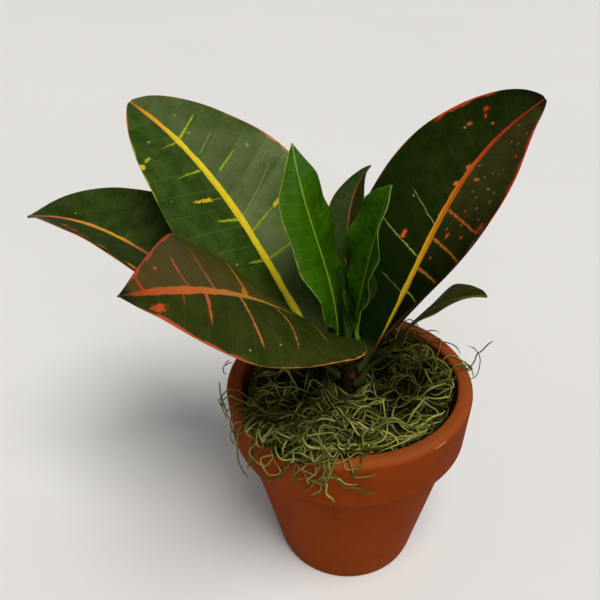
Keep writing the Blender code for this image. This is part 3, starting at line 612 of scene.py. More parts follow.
        spots=((60.0, -4.0, 1.0, 0.8, PALE), (57.0, -6.0, 0.6, 0.6, (0.4, 0.2, 0.1))),
        rims=((R, 26, 66, 0.6, (0.16, 0.1, 0.04)),
            (L, 26, 66, 0.4, (0.08, 0.07, 0.02)), (R, 6, 26, 0.4, (0.035, 0.035, 0.006)))),
}

BUD_LOOK = dict(
    blade=(0.008, 0.026, 0.001), light=(0.018, 0.050, 0.002), under=(0.02, 0.05, 0.004),
    half=(R, (0.012, 0.034, 0.002), 0.5, 60), gloss=0.35, shine=0.15, spacing=3.4,
    lean=(0.45, 0.45), fine=0.1, pins=0.0, veins=(), spots=(), rims=(),
    rib=((0.0, (0.05, 0.10, 0.005), 1.0), (0.98, (0.05, 0.10, 0.005), 0.3)),
)


def times(color, factor, more=0.0):
    """A colour made brighter or darker by a factor, plus a little grey."""
    return tuple(factor * c + more for c in color)


def blade_ground(g, leaf, look, place, grain, along, ranks):
    """Two drifting greens, a tint on one half that fades outwards and towards the base (on
    leaf_back_left a painted sheen), the fine side veins, the pin spots, the colour of the tip
    and a painted shade towards the base."""
    mottle = grain["Coarse"] * 0.75 + grain["Middle"] * 0.25
    color = g.mix(mottle.band(0.30, 0.70), look["blade"], look["light"])
    # On leaf_back_left the half's tint, and low nearer the base, are a painted sheen.
    side, tint, amount, far = look["half"]
    length = leaf["length"]
    if "low" in look:
        tint = g.mix(along.band(50.0, 85.0), look["low"], tint)
    outward = g.field("across") * side
    on_side = outward.band(-0.5, 1.5, 0.0, amount) * outward.band(6.0, far, 1.0, 0.35)
    on_side = on_side * mottle.band(0.30, 0.66, 0.65, 1.0)
    on_side = on_side * along.band(0.14 * length, 0.40 * length, 0.3, 1.0)
    color = g.mix(on_side, color, tint)
    faint = grain["Coarse"].band(0.4, 0.65, 0.15, look["fine"])
    color = g.mix(ranks["Line"] * faint, color, times(look["light"], 2.2, 0.004))
    pins = g.use(pin_spots, Vector=place, Scale=170.0, Share=look["pins"], Size=0.13)
    color = g.mix(pins["Mask"] * 0.75, color, PALE)
    if "tip" in look:
        color = g.mix(along.band(length - 7.0, length - 2.0), color, look["tip"])
    # Painted shade: the blade darkens towards its base.
    if "base" in look:
        color = g.mix(along.band(25.0, 85.0, 0.92, 0.0), color, look["base"])
    return color


def blade_marks(g, look, grain, along, across):
    """The large side veins, the spots and the coloured margins: a mask and a colour each."""
    painted = dict(Along=along, Across=across, Ragged=grain["Middle"])
    edged = dict(Along=along, Across=g.field("across"), Margin=g.field("margin"),
                 Ragged=grain["Coarse"])
    kinds = (("veins", side_vein, "Side Start Lean From To Width Bend", painted),
             ("spots", leaf_spot, "At Off Long Wide", painted),
             ("rims", leaf_rim, "Side From To Width", edged))
    marks = []
    for kind, group, labels, shared in kinds:
        for *numbers, paint in look[kind]:
            given = dict(zip(labels.split(), numbers))
            marks.append((g.use(group, **shared, **given)["Mask"], paint))
    return marks


def midrib(g, leaf, look, grain, wander):
    """The midrib's mask and colour: a stripe whose width and colour run along the blade and
    whose edge wanders a little, with a darker grain and, on some leaves, a core line."""
    share = g.math("DIVIDE", g.field("along"), leaf["length"], clamp=True)
    rib = look["rib"]
    paint = g.ramp(share, [(place, color) for place, color, _ in rib])
    paint = g.mix(grain["Fine"].band(0.3, 0.7) * 0.35, paint, times(rib[0][1], 0.6))
    quarter = g.ramp(share, [(place, width / 4.0) for place, _, width in rib])
    half = quarter * grain["Coarse"].band(0.3, 0.7, 1.75, 2.25)
    away = abs(g.field("across") + (wander - 0.5) * 0.5)
    mask = away.band(half - 0.2, half + 0.2, 1.0, 0.0)
    if "core" in look:
        line = away.band(0.1, 0.45, 1.0, 0.0) * share.band(0.3, 0.5, 0.2, 0.8)
        paint = g.mix(line, paint, look["core"])
    return mask, paint


def leaf_finish(name, leaf, look):
    """The painted blade: its ground, then the large veins, spots and margins, the midrib
    over all and the stalk, and the same marks fainter on the lower face."""
    made, g, place, grain = new_material(name + "_finish", 140.0)
    wander = g.parts("Color", g.noise(place, 330.0, 3.0, "Color"))
    along = g.field("along") + (wander[0] - 0.5) * 1.1
    across = g.field("across") + (wander[1] - 0.5) * 1.1
    ranks = g.use(lateral_veins, Along=along, Across=across, Spacing=look["spacing"],
                  Left=look["lean"][0], Right=look["lean"][1])
    marks = blade_marks(g, look, grain, along, across)
    rib, paint = midrib(g, leaf, look, grain, wander[2])
    stalk = g.field("along").band(-5.0, 3.0, 1.0, 0.0)
    upper = blade_ground(g, leaf, look, place, grain, along, ranks)
    lower = g.mix(grain["Coarse"].band(0.35, 0.7), look["under"], times(look["under"], 0.7))
    lower = g.mix(ranks["Line"] * 0.4, lower, times(look["under"], 1.8))
    for mask, mark in marks:
        upper = g.mix(mask, upper, mark)
    upper = g.mix(rib, upper, paint)
    lower = g.mix(rib * 0.7, lower, paint)
    for mask, mark in marks:
        lower = g.mix(mask * 0.5, lower, mark)
    green = look.get("stalk", STALK)
    under = g.field("under")
    color = g.mix(under, g.mix(stalk, upper, green), g.mix(stalk, lower, green))
    gloss = look["gloss"]
    rough = grain["Middle"].band(0.3, 0.7, gloss - 0.05, gloss + 0.08) + under * 0.2
    height = ranks["Height"] * (0.032 * look["spacing"]) + grain["Fine"] * 0.10
    height = height + grain["Middle"] * 0.22
    return finish(made, g, color, rough, look["shine"], (0.92, 1.0, 0.55), height, 0.00028)


# ---------------------------------------------------------------- other finishes
def floor_finish():
    """Plain pale card with a faint drift."""
    made, g, _, grain = new_material("floor_finish", 3.0)
    color = g.mix(grain["Coarse"], (0.70, 0.71, 0.73), (0.73, 0.74, 0.76))
    return finish(made, g, color, 0.85)


def terracotta_finish():
    """Fired clay: a warm ground with paler and darker drifts, fine pores, a painted highlight
    along the lip with a scratch on it, a painted shadow line under the collar and a hairline
    crack below that. Here the bands are in metres, and heading in radians."""
    made, g, place, grain = new_material("terracotta_finish", 45.0)
    coarse, middle = grain["Coarse"], grain["Middle"]
    color = g.mix(coarse.band(0.3, 0.7), (0.184, 0.030, 0.0025), (0.200, 0.034, 0.003))
    color = g.mix(middle.band(0.45, 0.75) * 0.15, color, (0.17, 0.030, 0.005))
    pores = g.use(pin_spots, Vector=place, Scale=520.0, Share=0.25, Size=0.22)["Mask"]
    color = g.mix(pores * 0.4, color, (0.10, 0.030, 0.012))
    x, y, z = g.parts("XYZ", place)
    heading = g.math("ARCTAN2", y, x)
    # Painted highlight: the top of the lip made paler.
    color = g.mix(z.band(0.0945, 0.0975, 0.0, 0.3), color, (0.36, 0.11, 0.035))
    # Painted shadow: a dark line under the collar's overhang.
    below = z.band(0.0665, 0.0700) * z.band(0.0722, 0.0734, 0.85, 0.0)
    color = g.mix(below, color, (0.030, 0.008, 0.002))
    drift = (middle - 0.5) * 0.0016
    scratch = abs(z + drift - 0.0961).band(0.0001, 0.00045, 1.0, 0.0)
    scratch = scratch * heading.between((-0.975, -0.945), (-0.87, -0.83))
    color = g.mix(scratch * 0.8, color, (0.46, 0.22, 0.11))
    crack = abs(heading + 1.745 + ((0.071 - z) * 2.05 + drift * 14.0))
    crack = crack.band(0.002, 0.006, 1.0, 0.0) * z.between((0.054, 0.060), (0.0695, 0.0715))
    color = g.mix(crack * 0.75, color, (0.04, 0.010, 0.003))
    height = grain["Fine"] * 0.4 + middle * 0.5 - pores * 0.5
    rough = middle.band(0.3, 0.7, 0.62, 0.74)
    return finish(made, g, color, rough, 0.03, (1.0, 0.6, 0.35), height, 0.00008)


def moss_finish(name, dry, fresh, dark):
    """Dry moss: each strand's own shade between two khakis, darkened by painted shade deep in the
    mat and near the stem.
    """
    made, g, _, grain = new_material(name, 300.0)
    color = g.mix(g.field("shade"), dry, fresh)
    color = g.mix(grain["Coarse"].band(0.35, 0.7) * 0.35, color, dark)
    # Painted shade: darker deep in the mat and near the stem.
    color = g.mix(g.field("painted_shade"), color, dark)
    rough = grain["Middle"].band(0.3, 0.7, 0.7, 0.9)
    return finish(made, g, color, rough, 0.06, (1.0, 1.0, 0.6), grain["Middle"], 0.0002)


def ground_finish(name, dark, light, scale):
    """Crumbs: cells of a Voronoi pattern with a shade each, and noise between them. With
    near-black colours it serves as the painted shade of the moss bed.
    """
    made, g, place, grain = new_material(name, scale)
    cells = g.node("TexVoronoi", {"Vector": place, "Scale": scale * 3}).outputs
    color = g.mix(g.parts("Color", cells["Color"])[0] * grain["Coarse"], dark, light)
    rough = grain["Middle"].band(0.3, 0.7, 0.85, 0.98)
    height = grain["Middle"] - cells["Distance"]
    return finish(made, g, color, rough, 0.06, (1.0, 0.95, 0.7), height, 0.0006)


def wood_finish():
    """Young bark: a brown so dark that it is partly painted shade under the leaves, with darker
    streaks along the stem, greener towards the top, and a red stub."""
    made, g, place, grain = new_material("young_wood_finish", 220.0, along_z=0.25)
    coarse, middle = grain["Coarse"], grain["Middle"]
    # The bark's brown, its own colour darkened further as painted shade.
    color = g.mix(coarse.band(0.35, 0.65), (0.006, 0.004, 0.002), (0.016, 0.011, 0.005))
    color = g.mix(middle.band(0.5, 0.7) * 0.6, color, (0.006, 0.004, 0.002))
    z = g.parts("XYZ", place)[2]
    color = g.mix(z.band(0.104, 0.117, 0.0, 0.75), color, (0.008, 0.015, 0.003))
    color = g.mix(g.field("stub"), color, (0.060, 0.012, 0.006))
    rough = middle.band(0.3, 0.7, 0.6, 0.8)
    return finish(made, g, color, rough, 0.08, (1.0, 0.85, 0.6), coarse + middle * 0.5, 0.0005)


# ---------------------------------------------------------------- leaves
# Stations along the midrib's line, the blade and the petiole, and points across half a blade.
LINE_STEPS, BLADE_STEPS, PETIOLE_STEPS, HALF_STEPS = 480, 130, 20, 26
BLADE_THICK, GROOVE_DEEP, GROOVE_WIDE, KEEL_WIDE = 0.5, 0.22, 1.1, 1.15
KEEL_DEEP = (0.25, 1.2)  # at the tip, and how much deeper at the base


def midrib_line(leaf, s):
    """The midrib's points and its three directions at the shares s of its whole length.
    Heading and rise run evenly from base to tip, plus a half wave of sway and bow; the
    line is their sum step by step, and roll turns the blade about it."""
    g = np.linspace(0, 1, LINE_STEPS + 1)
    arch = np.sin(np.pi * g)
    turn = np.radians(mix(leaf["heading"], g) + leaf["sway"] * arch)
    lift = np.radians(mix(leaf["rise"], g) + leaf["bow"] * arch)
    along = polar(np.cos(lift), turn, np.sin(lift))
    total = leaf["petiole"] + leaf["length"]
    moves = 0.5 * (along[1:] + along[:-1]) * total / LINE_STEPS
    point = np.array(leaf["start"]) + np.vstack([np.zeros(3), np.cumsum(moves, 0)])
    left = np.stack([-np.sin(turn), np.cos(turn), 0 * turn], -1)
    up = np.cross(along, left)
    roll = np.radians(mix(leaf["roll"], g))[:, None]
    side = left * np.cos(roll) + up * np.sin(roll)
    face = up * np.cos(roll) - left * np.sin(roll)
    point, along, side, face = (np.stack([np.interp(s, g, a[:, k]) for k in range(3)], -1)
                                for a in (point, along, side, face))
    return point, unit(along), unit(side), unit(face)


def outline(t, full, blunt):
    """Half width as a share of the widest: t to one power times 1 - t to another."""
    a = blunt * full / (1 - full)
    return t ** a * (1 - t) ** blunt / (full ** a * (1 - full) ** blunt)


def blade_rings(leaf, look, s, t):
    """One closed loop of points round the blade at each station: the upper face from the
    right margin to the left, then the lower face back. Each half tilts by fold + curl x at
    x of its width, so out and lift are that angle's sines and cosines summed from 0 to x.
    The margin is rounded, the midrib lies in a groove over a keel, and the blade swells a
    little between its side veins. Also gives along, across, margin and under."""
    point, _, side, face = (a[:, None] for a in midrib_line(leaf, s))
    s, t = s[:, None], t[:, None]
    half = np.maximum(0.5 * leaf["width"] * outline(t, leaf["full"], leaf["blunt"]), 0.25)
    f = np.arange(HALF_STEPS + 1) / HALF_STEPS
    x = f - 0.72 * np.sin(2 * np.pi * f) / (2 * np.pi)
    v = np.concatenate([-x[:0:-1], x])[None, :]
    x, on_left = np.abs(v), v > 0
    at, share, spread, more_left, more_right = look.get("bulge", (0.5, 0, 0.1, 0, 0))
    near = np.exp(-((t - at) / spread) ** 2)
    half = half * (1 + share * near) + np.where(on_left, more_left, more_right) * near
    half = np.maximum(half, PETIOLE_R * 1.1 * (1 - t * 9))

    fold = np.radians(mix(leaf["fold"], s))
    curl = np.where(on_left, mix(leaf["curl_left"], s), mix(leaf["curl_right"], s))
    curl = np.radians(curl)
    curl = np.where(np.abs(curl) < 1e-3, 1e-3, curl)
    tilt = fold + curl * x
    out = (np.sin(tilt) - np.sin(fold)) / curl
    lift = (np.cos(fold) - np.cos(tilt)) / curl
    height, number, phase = leaf["wave"]
    shift = np.where(on_left, 0.0, 1.9)
    ripple = np.sin(2 * np.pi * number * s + phase + shift)
    frill = 0.10 * np.sin(2 * np.pi * number * 2.7 * s + 2 * phase + shift)
    margin_wave = height * (ripple * x ** 2 + frill * x ** 4) * np.minimum(1, half / 8)
    rise = half * lift + margin_wave

    distance, spacing = t * leaf["length"], look["spacing"]
    lean = np.where(on_left, look["lean"][0], look["lean"][1])
    rank = (distance - lean * x * half + on_left * 0.4 * spacing) / spacing
    swell = 0.006 * spacing * (0.5 - 0.5 * np.cos(2 * np.pi * rank)) * np.minimum(1, half / 10)
    swell = swell * ease(x, 0.03, 0.2) * ease(x, 1.0, 0.7)
    groove = GROOVE_DEEP * np.exp(-(x * half / GROOVE_WIDE) ** 2) * np.minimum(1, half / 5)
    thick = BLADE_THICK / 2 * np.sqrt(np.maximum(1 - x ** 14, 0))
    keel = KEEL_DEEP[0] + KEEL_DEEP[1] * (1 - t) ** 1.5
    keel = keel * np.exp(-(x * half / KEEL_WIDE) ** 2)
    sign = np.where(v >= 0, 1.0, -1.0)
    normal = face * np.cos(tilt)[..., None] - side * (sign * np.sin(tilt))[..., None]
    middle = point + side * (sign * half * out)[..., None] + face * rise[..., None]
    upper = middle + normal * (swell - groove - BLADE_THICK / 2 + thick)[..., None]
    lower = middle + normal * (0.6 * swell - BLADE_THICK / 2 - thick - keel)[..., None]
    back = slice(-2, 0, -1)
    loop = np.concatenate([upper, lower[:, back]], 1)
    fields = [np.concatenate([a, a[:, back]], 1)
              for a in np.broadcast_arrays(distance, v * half, (1 - x) * half)]
    under = np.concatenate([np.zeros_like(upper[..., 0]), np.ones_like(lower[:, back, 0])], 1)
    return loop, fields + [under]


def stem_radius(z):
    """The stem's radius at height z: it narrows evenly."""
    return mix((STEM_FOOT_R, STEM_TOP_R), (z - STEM_FOOT_Z) / (STEM_TOP_Z - STEM_FOOT_Z))


def petiole_rings(leaf, base, first_ring):
    """Round sections on a cubic curve from the seat on the stem to the blade's foot, that
    turn by and by into the blade's first section, with the same fields as the blade."""
    foot, along, side, face = (a[0] for a in midrib_line(leaf, np.array([base])))
    turn, height = math.radians(leaf["seat"][0]), leaf["seat"][1]
    outward = polar(1.0, turn, 0.0)
    seat = polar(stem_radius(height) + 0.05, turn, height)
    reach = np.linalg.norm(foot - seat) * 0.4
    first = seat + unit(outward + np.array([0, 0, 0.45])) * reach
    second = foot - along * reach
    f = np.arange(PETIOLE_STEPS)[:, None] / PETIOLE_STEPS
    back = 1 - f
    point = (seat * back ** 3 + first * 3 * f * back ** 2 + second * 3 * f * f * back
             + foot * f ** 3)
    ahead = unit((first - seat) * back ** 2 + (second - first) * 2 * f * back
                 + (foot - second) * f * f)
    ahead[0] = outward
    flat = unit(side - ahead * (ahead @ side)[:, None])
    top = np.cross(ahead, flat)
    count = len(first_ring)
    angle = np.pi * (1 - (2 * np.arange(count) + 1) / count)[None, :]
    radius = PETIOLE_R * (1.25 - 0.25 * f) + 0.5 * np.exp(-(f * reach / 0.9) ** 2)
    local = first_ring - foot
    blend = ease(f, 0.3, 1.0)
    a = radius * np.cos(angle) * (1 - blend) + (local @ side)[None, :] * blend
    b = radius * np.sin(angle) * (1 - blend) + (local @ face)[None, :] * blend
    rings = point[:, None] + flat[:, None] * a[..., None] + top[:, None] * b[..., None]
    here = np.broadcast_to((f - 1) * leaf["petiole"], a.shape)
    under = np.broadcast_to((np.arange(count) >= count // 2 + 1).astype(float), a.shape)
    return rings, [here, a * 0.6, np.full(a.shape, 9.0), under]


def make_leaf(name, leaf, look, slot, *nodes):
    """A leaf from its seat on the stem to its tip: the petiole, then the blade, whose
    stations crowd at both ends, closed at both ends."""
    base = leaf["petiole"] / (leaf["petiole"] + leaf["length"])
    f = np.arange(BLADE_STEPS + 1) / BLADE_STEPS
    first, last = 0.012, 0.997
    t = first + (last - first) * (f - 0.35 * np.sin(2 * np.pi * f) / (2 * np.pi))
    blade, blade_fields = blade_rings(leaf, look, base + (1 - base) * t, t)
    petiole, petiole_fields = petiole_rings(leaf, base, blade[0])
    rings = np.concatenate([petiole, blade])
    poles = np.stack([petiole[0].mean(0), blade[-1].mean(0)])
    kept = {}
    names = ("along", "across", "margin", "under")
    for label, low, high in zip(names, petiole_fields, blade_fields):
        ends = [low[0].mean(), high[-1].mean()]
        kept[label] = np.concatenate([low.ravel(), high.ravel(), ends])
    points = np.concatenate([rings.reshape(-1, 3), poles])
    piece = solid(name + "_blade", points, capped_faces(*rings.shape[:2]), kept)
    finish_piece(piece, leaf_finish(name, leaf, look), slot, *nodes)


# ---------------------------------------------------------------- pot and stem
def inner_wall(z):
    """Inner radius of the pot at height z: straight to the waist, then flaring to the lip."""
    waist_in = WAIST_R - WALL
    low = FOOT_R - WALL + (WAIST_R - FOOT_R) * z / WAIST_Z
    high = waist_in + (LIP_IN_R - waist_in) * np.clip((z - WAIST_Z) / (POT_H - 4 - WAIST_Z), 0, 1)
    return np.where(z < WAIST_Z, low, high)


def turned(name, profile, sides, wobble=0.0):
    """A closed shape turned about Z from a profile (r, z) whose two ends lie on the axis.
    wobble makes it a hair out of round, as hand work is."""
    profile = np.array(profile, float)
    turn = np.arange(sides) / sides * 2 * np.pi
    r, z = profile[1:-1, :1], profile[1:-1, 1:]
    r = r * (1 + wobble * (np.sin(2 * turn + 0.7) + 0.5 * np.sin(3 * turn + 0.05 * z)))
    points = polar(r, turn, z)
    ends = [(0, 0, profile[0, 1]), (0, 0, profile[-1, 1])]
    points = np.concatenate([points.reshape(-1, 3), ends])
    return solid(name, points, capped_faces(*r.shape), sharp=40)


def arc(middle, radius, start, end, steps):
    """Points of a circle's arc in the (r, z) plane, angles in degrees."""
    angle = np.radians(np.linspace(start, end, steps))
    return list(zip(middle[0] + radius * np.cos(angle), middle[1] + radius * np.sin(angle)))


def cut_hole(pot, turn):
    """Cuts one drain hole through the pot's floor."""
    hole = turned("drain_tool", [(0, -8), (DRAIN_R, -8), (DRAIN_R, 16), (0, 16)], 40)
    hole.location = polar(DRAIN_PCD_R * MM, math.radians(turn), 0.0)
    cut = pot.modifiers.new("drain", "BOOLEAN")
    cut.operation, cut.solver, cut.object = "DIFFERENCE", "EXACT", hole
    bpy.context.view_layer.update()
    view = bpy.context.evaluated_depsgraph_get()
    mesh = bpy.data.meshes.new_from_object(pot.evaluated_get(view))
    pot.modifiers.clear()
    pot.data = mesh
    bpy.data.objects.remove(hole, do_unlink=True)


def make_pot():
    """The pot's profile, outside first: foot, wall, collar with rounded edges, lip, inside."""
    wall, collar = (FOOT_R, WAIST_R), (COLLAR_R, RIM_R - 0.05)
    collar_z = (WAIST_Z + 1.4, POT_H - 4.2)
    profile = [(0, 0), (FOOT_R - 3, 0)] + arc((FOOT_R - 1.2, 1.2), 1.2, -90, -12, 6)
    profile += [(mix(wall, f), WAIST_Z * f) for f in (0.05, 0.2, 0.35, 0.5, 0.65, 0.8, 0.93)]
    profile += [(WAIST_R + out, WAIST_Z - down)
                for out, down in ((-0.1, 1.4), (0.15, 0.6), (0.9, 0.1))]
    profile += arc((COLLAR_R - 1.4, WAIST_Z + 1.4), 1.4, -90, -5, 7)
    profile += [(mix(collar, f), mix(collar_z, f)) for f in (0.15, 0.4, 0.65, 0.9)]
    profile += arc((RIM_R - 3.1, POT_H - 3.1), 3.1, 2, 96, 10)
    profile += arc((LIP_IN_R + 1.9, POT_H - 2.1), 2.0, 92, 178, 7)
    profile += [(LIP_IN_R, POT_H - 4.5), (LIP_IN_R - 0.3, POT_H - 7)]
    inside = (88.0, 82.0, 76.0, WAIST_Z, 55.0, 38.0, 22.0, FLOOR + 3.0)
    profile += [(float(inner_wall(z)), z) for z in inside]
    corner = float(inner_wall(FLOOR))
    profile += [(corner - 0.9, FLOOR + 1.3), (corner - 2.6, FLOOR), (10, FLOOR), (0, FLOOR)]
    pot = turned("pot_shell", profile, 160, 0.0008)
    for turn in (90, 210, 330):
        cut_hole(pot, turn)
    finish_piece(pot, terracotta_finish(), "terracotta", "pot")


def make_stem():
    """The stem: circles up the axis whose radius carries rings of leaf scars, bark ridges
    and a pointed bud, with a short red stub where a leaf has dropped."""
    bud = 6.0
    z = np.concatenate([np.linspace(STEM_FOOT_Z, 84, 12), np.linspace(84.5, STEM_TOP_Z, 70),
                        STEM_TOP_Z + np.linspace(0.4, bud, 12)])[:, None]
    turn = np.arange(40)[None, :] / 40 * 2 * np.pi
    top = np.clip((z - STEM_TOP_Z) / bud, 0, 1)
    r = stem_radius(np.minimum(z, STEM_TOP_Z)) * np.sqrt(1 - top ** 2.2 * 0.985)
    for level, phase in ((92.4, 0.3), (103.2, 2.0), (97.0, 4.2), (107.5, 1.1)):
        r = r + 0.16 * np.exp(-((z - level - 0.5 * np.sin(turn + phase)) / 0.5) ** 2)
    r = r - 0.14 * np.abs(np.sin(4 * turn + 0.08 * z)) * (1 - top)
    r = r - 0.05 * np.sin(11 * turn + 0.2 * z)
    stub = np.exp(-(((turn - 5.05) * 3.8) / 1.5) ** 2 - ((z - 100.5) / 1.3) ** 2)
    r = r + 1.6 * stub
    ends = [(0, 0, z[0, 0]), (0, 0, z[-1, 0] + 0.2)]
    points = np.concatenate([polar(r, turn, z).reshape(-1, 3), ends])
    kept = {"stub": np.concatenate([ease(stub, 0.1, 0.5).ravel(), [0, 0]])}
    piece = solid("stem_bark", points, capped_faces(*r.shape), kept)
    finish_piece(piece, wood_finish(), "young_wood", "stem")


# ---------------------------------------------------------------- moss
SPILL = (199.0, 272.0)  # the headings, in degrees, between which the moss lies over the lip
FRONT, LOW_SIDE, LIT_SIDE = np.radians((246, 168, 250))  # where it is highest, lowest, palest
MAT_INSET = 1.0  # how far the mat's edge stays in from the wall, and stands up there
MAT_TOP = (94.6, 96.3)  # the mat's height near the stem, at the back and at the front
STRAND_START = (46.0, 19.0)  # how far out strands begin, and how much further at the spill
STRAND_END = (47.2, 20.5)  # how far out they reach, and how much further at the spill
SOONER, LATER = 7.0, 1.0  # how much sooner loose strands cross the lip, and how much later
SPILL_START, SPILL_LENGTH = (198, 270), 26.0  # where its strands begin, and how far it hangs
EDGE_OFF, CLEAR = 0.9, 0.75  # the mat's edge off the clay, and the least of any strand


def lip_path(arc_length, off):
    """(r, z) at distance off from the pot, going up the inner wall, over the lip in a half
    circle and down the outside of the collar."""
    rising = arc_length < LIP_START
    z_up = SOIL_TOP + arc_length
    turn = np.pi - (arc_length - LIP_START) / LIP_BEND
    bend = LIP_BEND + off
    down = arc_length - LIP_START - math.pi * LIP_BEND
    over_r = np.where(down < 0, (RIM_R + LIP_IN_R) / 2 + bend * np.cos(turn),
                      RIM_R + off - down * 0.035)
    over_z = POT_H - LIP_BEND + np.where(down < 0, bend * np.sin(turn), -down)
    r = np.where(rising, np.minimum(inner_wall(z_up), LIP_IN_R) - off, over_r)
    return r, np.where(rising, z_up, over_z)


def lumps(x, y):
    """Heights of the mat's lumps: three sets of crossing waves."""
    return (1.5 * np.sin(0.23 * x + 0.9) * np.cos(0.27 * y - 0.4)
            + 1.1 * np.sin(0.41 * x - 0.36 * y + 2.1) + 0.8 * np.cos(0.55 * y + 0.31 * x))


def toward(turn, heading):
    """1 at the heading, falling to 0 on the other side of the pot."""
    return 0.5 + 0.5 * np.cos(turn - heading)


def mat_edge(turn):
    """Height above the soil at which the moss meets the wall: lower towards the left."""
    return 9.6 - 4.8 * toward(turn, LOW_SIDE) ** 6 + 0.4 * toward(turn, FRONT) ** 4


def spill_share(turn, sooner=0.0, later=0.0, power=0.6):
    """0 where the moss stays inside the rim, up to 1 where it lies furthest over it: a half
    sine between the two headings, to a power."""
    wide = SPILL[1] - SPILL[0] + sooner + later
    f = np.clip((np.degrees(turn) % 360 - SPILL[0] + sooner) / wide, 0, 1)
    return np.sin(np.pi * f) ** power


def with_spill(pair, turn):
    """The first length, plus as much of the second as the strands spill over the lip."""
    return pair[0] + pair[1] * spill_share(turn, SOONER, LATER, 0.5)


def moss_place(reach, turn, off):
    """A point off above the moss, at a distance reach from the stem along the moss's own
    surface: across the mat to its edge, then over the lip. Inside, the height is a sum of
    the edge's height, the swell at the front, the lumps and the hollow round the stem."""
    edge = mat_edge(turn)
    edge_r, edge_z = lip_path(edge, EDGE_OFF)
    edge_r, edge_z = edge_r - MAT_INSET, edge_z + MAT_INSET
    front = toward(turn, FRONT) ** 4
    f = np.clip((edge_r - reach) / (edge_r - HOLLOW_R), 0, 1.2)
    r_in = np.minimum(reach, edge_r)
    climb = (mix(MAT_TOP, front) - edge_z) * np.minimum(1, f * 2.2)
    swell = 2.5 * front * np.sin(np.pi * np.minimum(1, f * 1.6))
    bumps = lumps(r_in * np.cos(turn), r_in * np.sin(turn)) * np.minimum(1, f * 3)
    sink, hollow = 3.0 * np.maximum(0, f - 0.6), 4.5 * ease(f, 0.8, 1.08)
    z_in = edge_z + climb + swell + bumps - sink - hollow
    past = np.maximum(reach - edge_r, 0)
    over = np.sin(np.pi * np.clip(past / SPILL_LENGTH, 0.05, 0.95))
    thick = 1.1 + spill_share(turn) * 3.0 * over
    stand = np.maximum(np.maximum(thick, 2.9 - past * 0.2) + off, CLEAR)
    r_out, z_out = lip_path(edge + past * LIP_SLOW, stand)
    blend = ease(past, 0.0, 3.5)
    r = r_in * (1 - blend) + r_out * blend
    return polar(r, turn, (z_in + off) * (1 - blend) + z_out * blend)


def strands(name, line, radius, shade, painted_shade, sides):
    """Round strands along many lines at once. line is strand by station by xyz; each
    station's ring turns as little as it can from the one before, and both ends taper."""
    number, stations = line.shape[:2]
    ahead = unit(np.gradient(line, axis=1))
    across = np.zeros_like(line)
    now = unit(np.cross(ahead[:, 0], np.array([0.31, 0.17, 0.93])))
    for i in range(stations):
        now = unit(now - ahead[:, i] * np.sum(now * ahead[:, i], -1, keepdims=True))
        across[:, i] = now
    other = np.cross(ahead, across)
    f = np.linspace(0, 1, stations)
    taper = 0.35 + 0.65 * np.minimum(1, np.minimum(f, 1 - f) * 7)
    size = radius[:, None] * taper[None, :]
    angle = (np.arange(sides) / sides * 2 * np.pi)[:, None]
    ring = across[:, :, None] * np.cos(angle) + other[:, :, None] * np.sin(angle)
    points = line[:, :, None] + ring * size[:, :, None, None]
    step = stations * sides
    starts = (np.arange(number) * step)[:, None, None]
    tube = (grid_faces(stations, sides)[None] + starts).reshape(-1, 4)
    ends = np.stack([np.arange(sides)[::-1], step - sides + np.arange(sides)])
    caps = (ends[None] + starts).reshape(-1, sides)
    kept = {label: np.broadcast_to(values, points.shape[:3])
            for label, values in (("shade", shade[:, None, None]), ("painted_shade", painted_shade[:, :, None]))}
    return solid(name, points, [tube, caps], kept)


def draw(number, low, high):
    """One random value for each strand, as a column."""
    return rng.uniform(low, high, (number, 1))


def curl_paths(number, stations, step, tight):
    """Flat curly paths about the origin: the heading is a straight drift, a bend that may
    close into a loop and two waves of random size, and the path is the running sum of
    steps along it."""
    g = np.arange(stations)[None, :] / (stations - 1)
    loop = draw(number, -1, 1) ** 3 * tight
    way = draw(number, 0, 2 * np.pi) + loop * (g - 0.5)
    for size, waves in (((0.2, 0.9), (2, 6)), ((0.05, 0.35), (8, 18))):
        way = way + draw(number, *size) * np.sin(g * draw(number, *waves) + draw(number, 0, 6.3))
    size = step * draw(number, 0.7, 1.3)
    x, y = np.cumsum(np.cos(way) * size, 1), np.cumsum(np.sin(way) * size, 1)
    middle = slice(stations // 2, stations // 2 + 1)
    return x - x[:, middle], y - y[:, middle], g


def turned_back(reach, limit):
    """reach, turned back where it would pass limit, as a strand curls back at an edge:
    limit less the smooth size of the difference."""
    return limit + 2.0 - np.sqrt((reach - limit) ** 2 + 4.0)


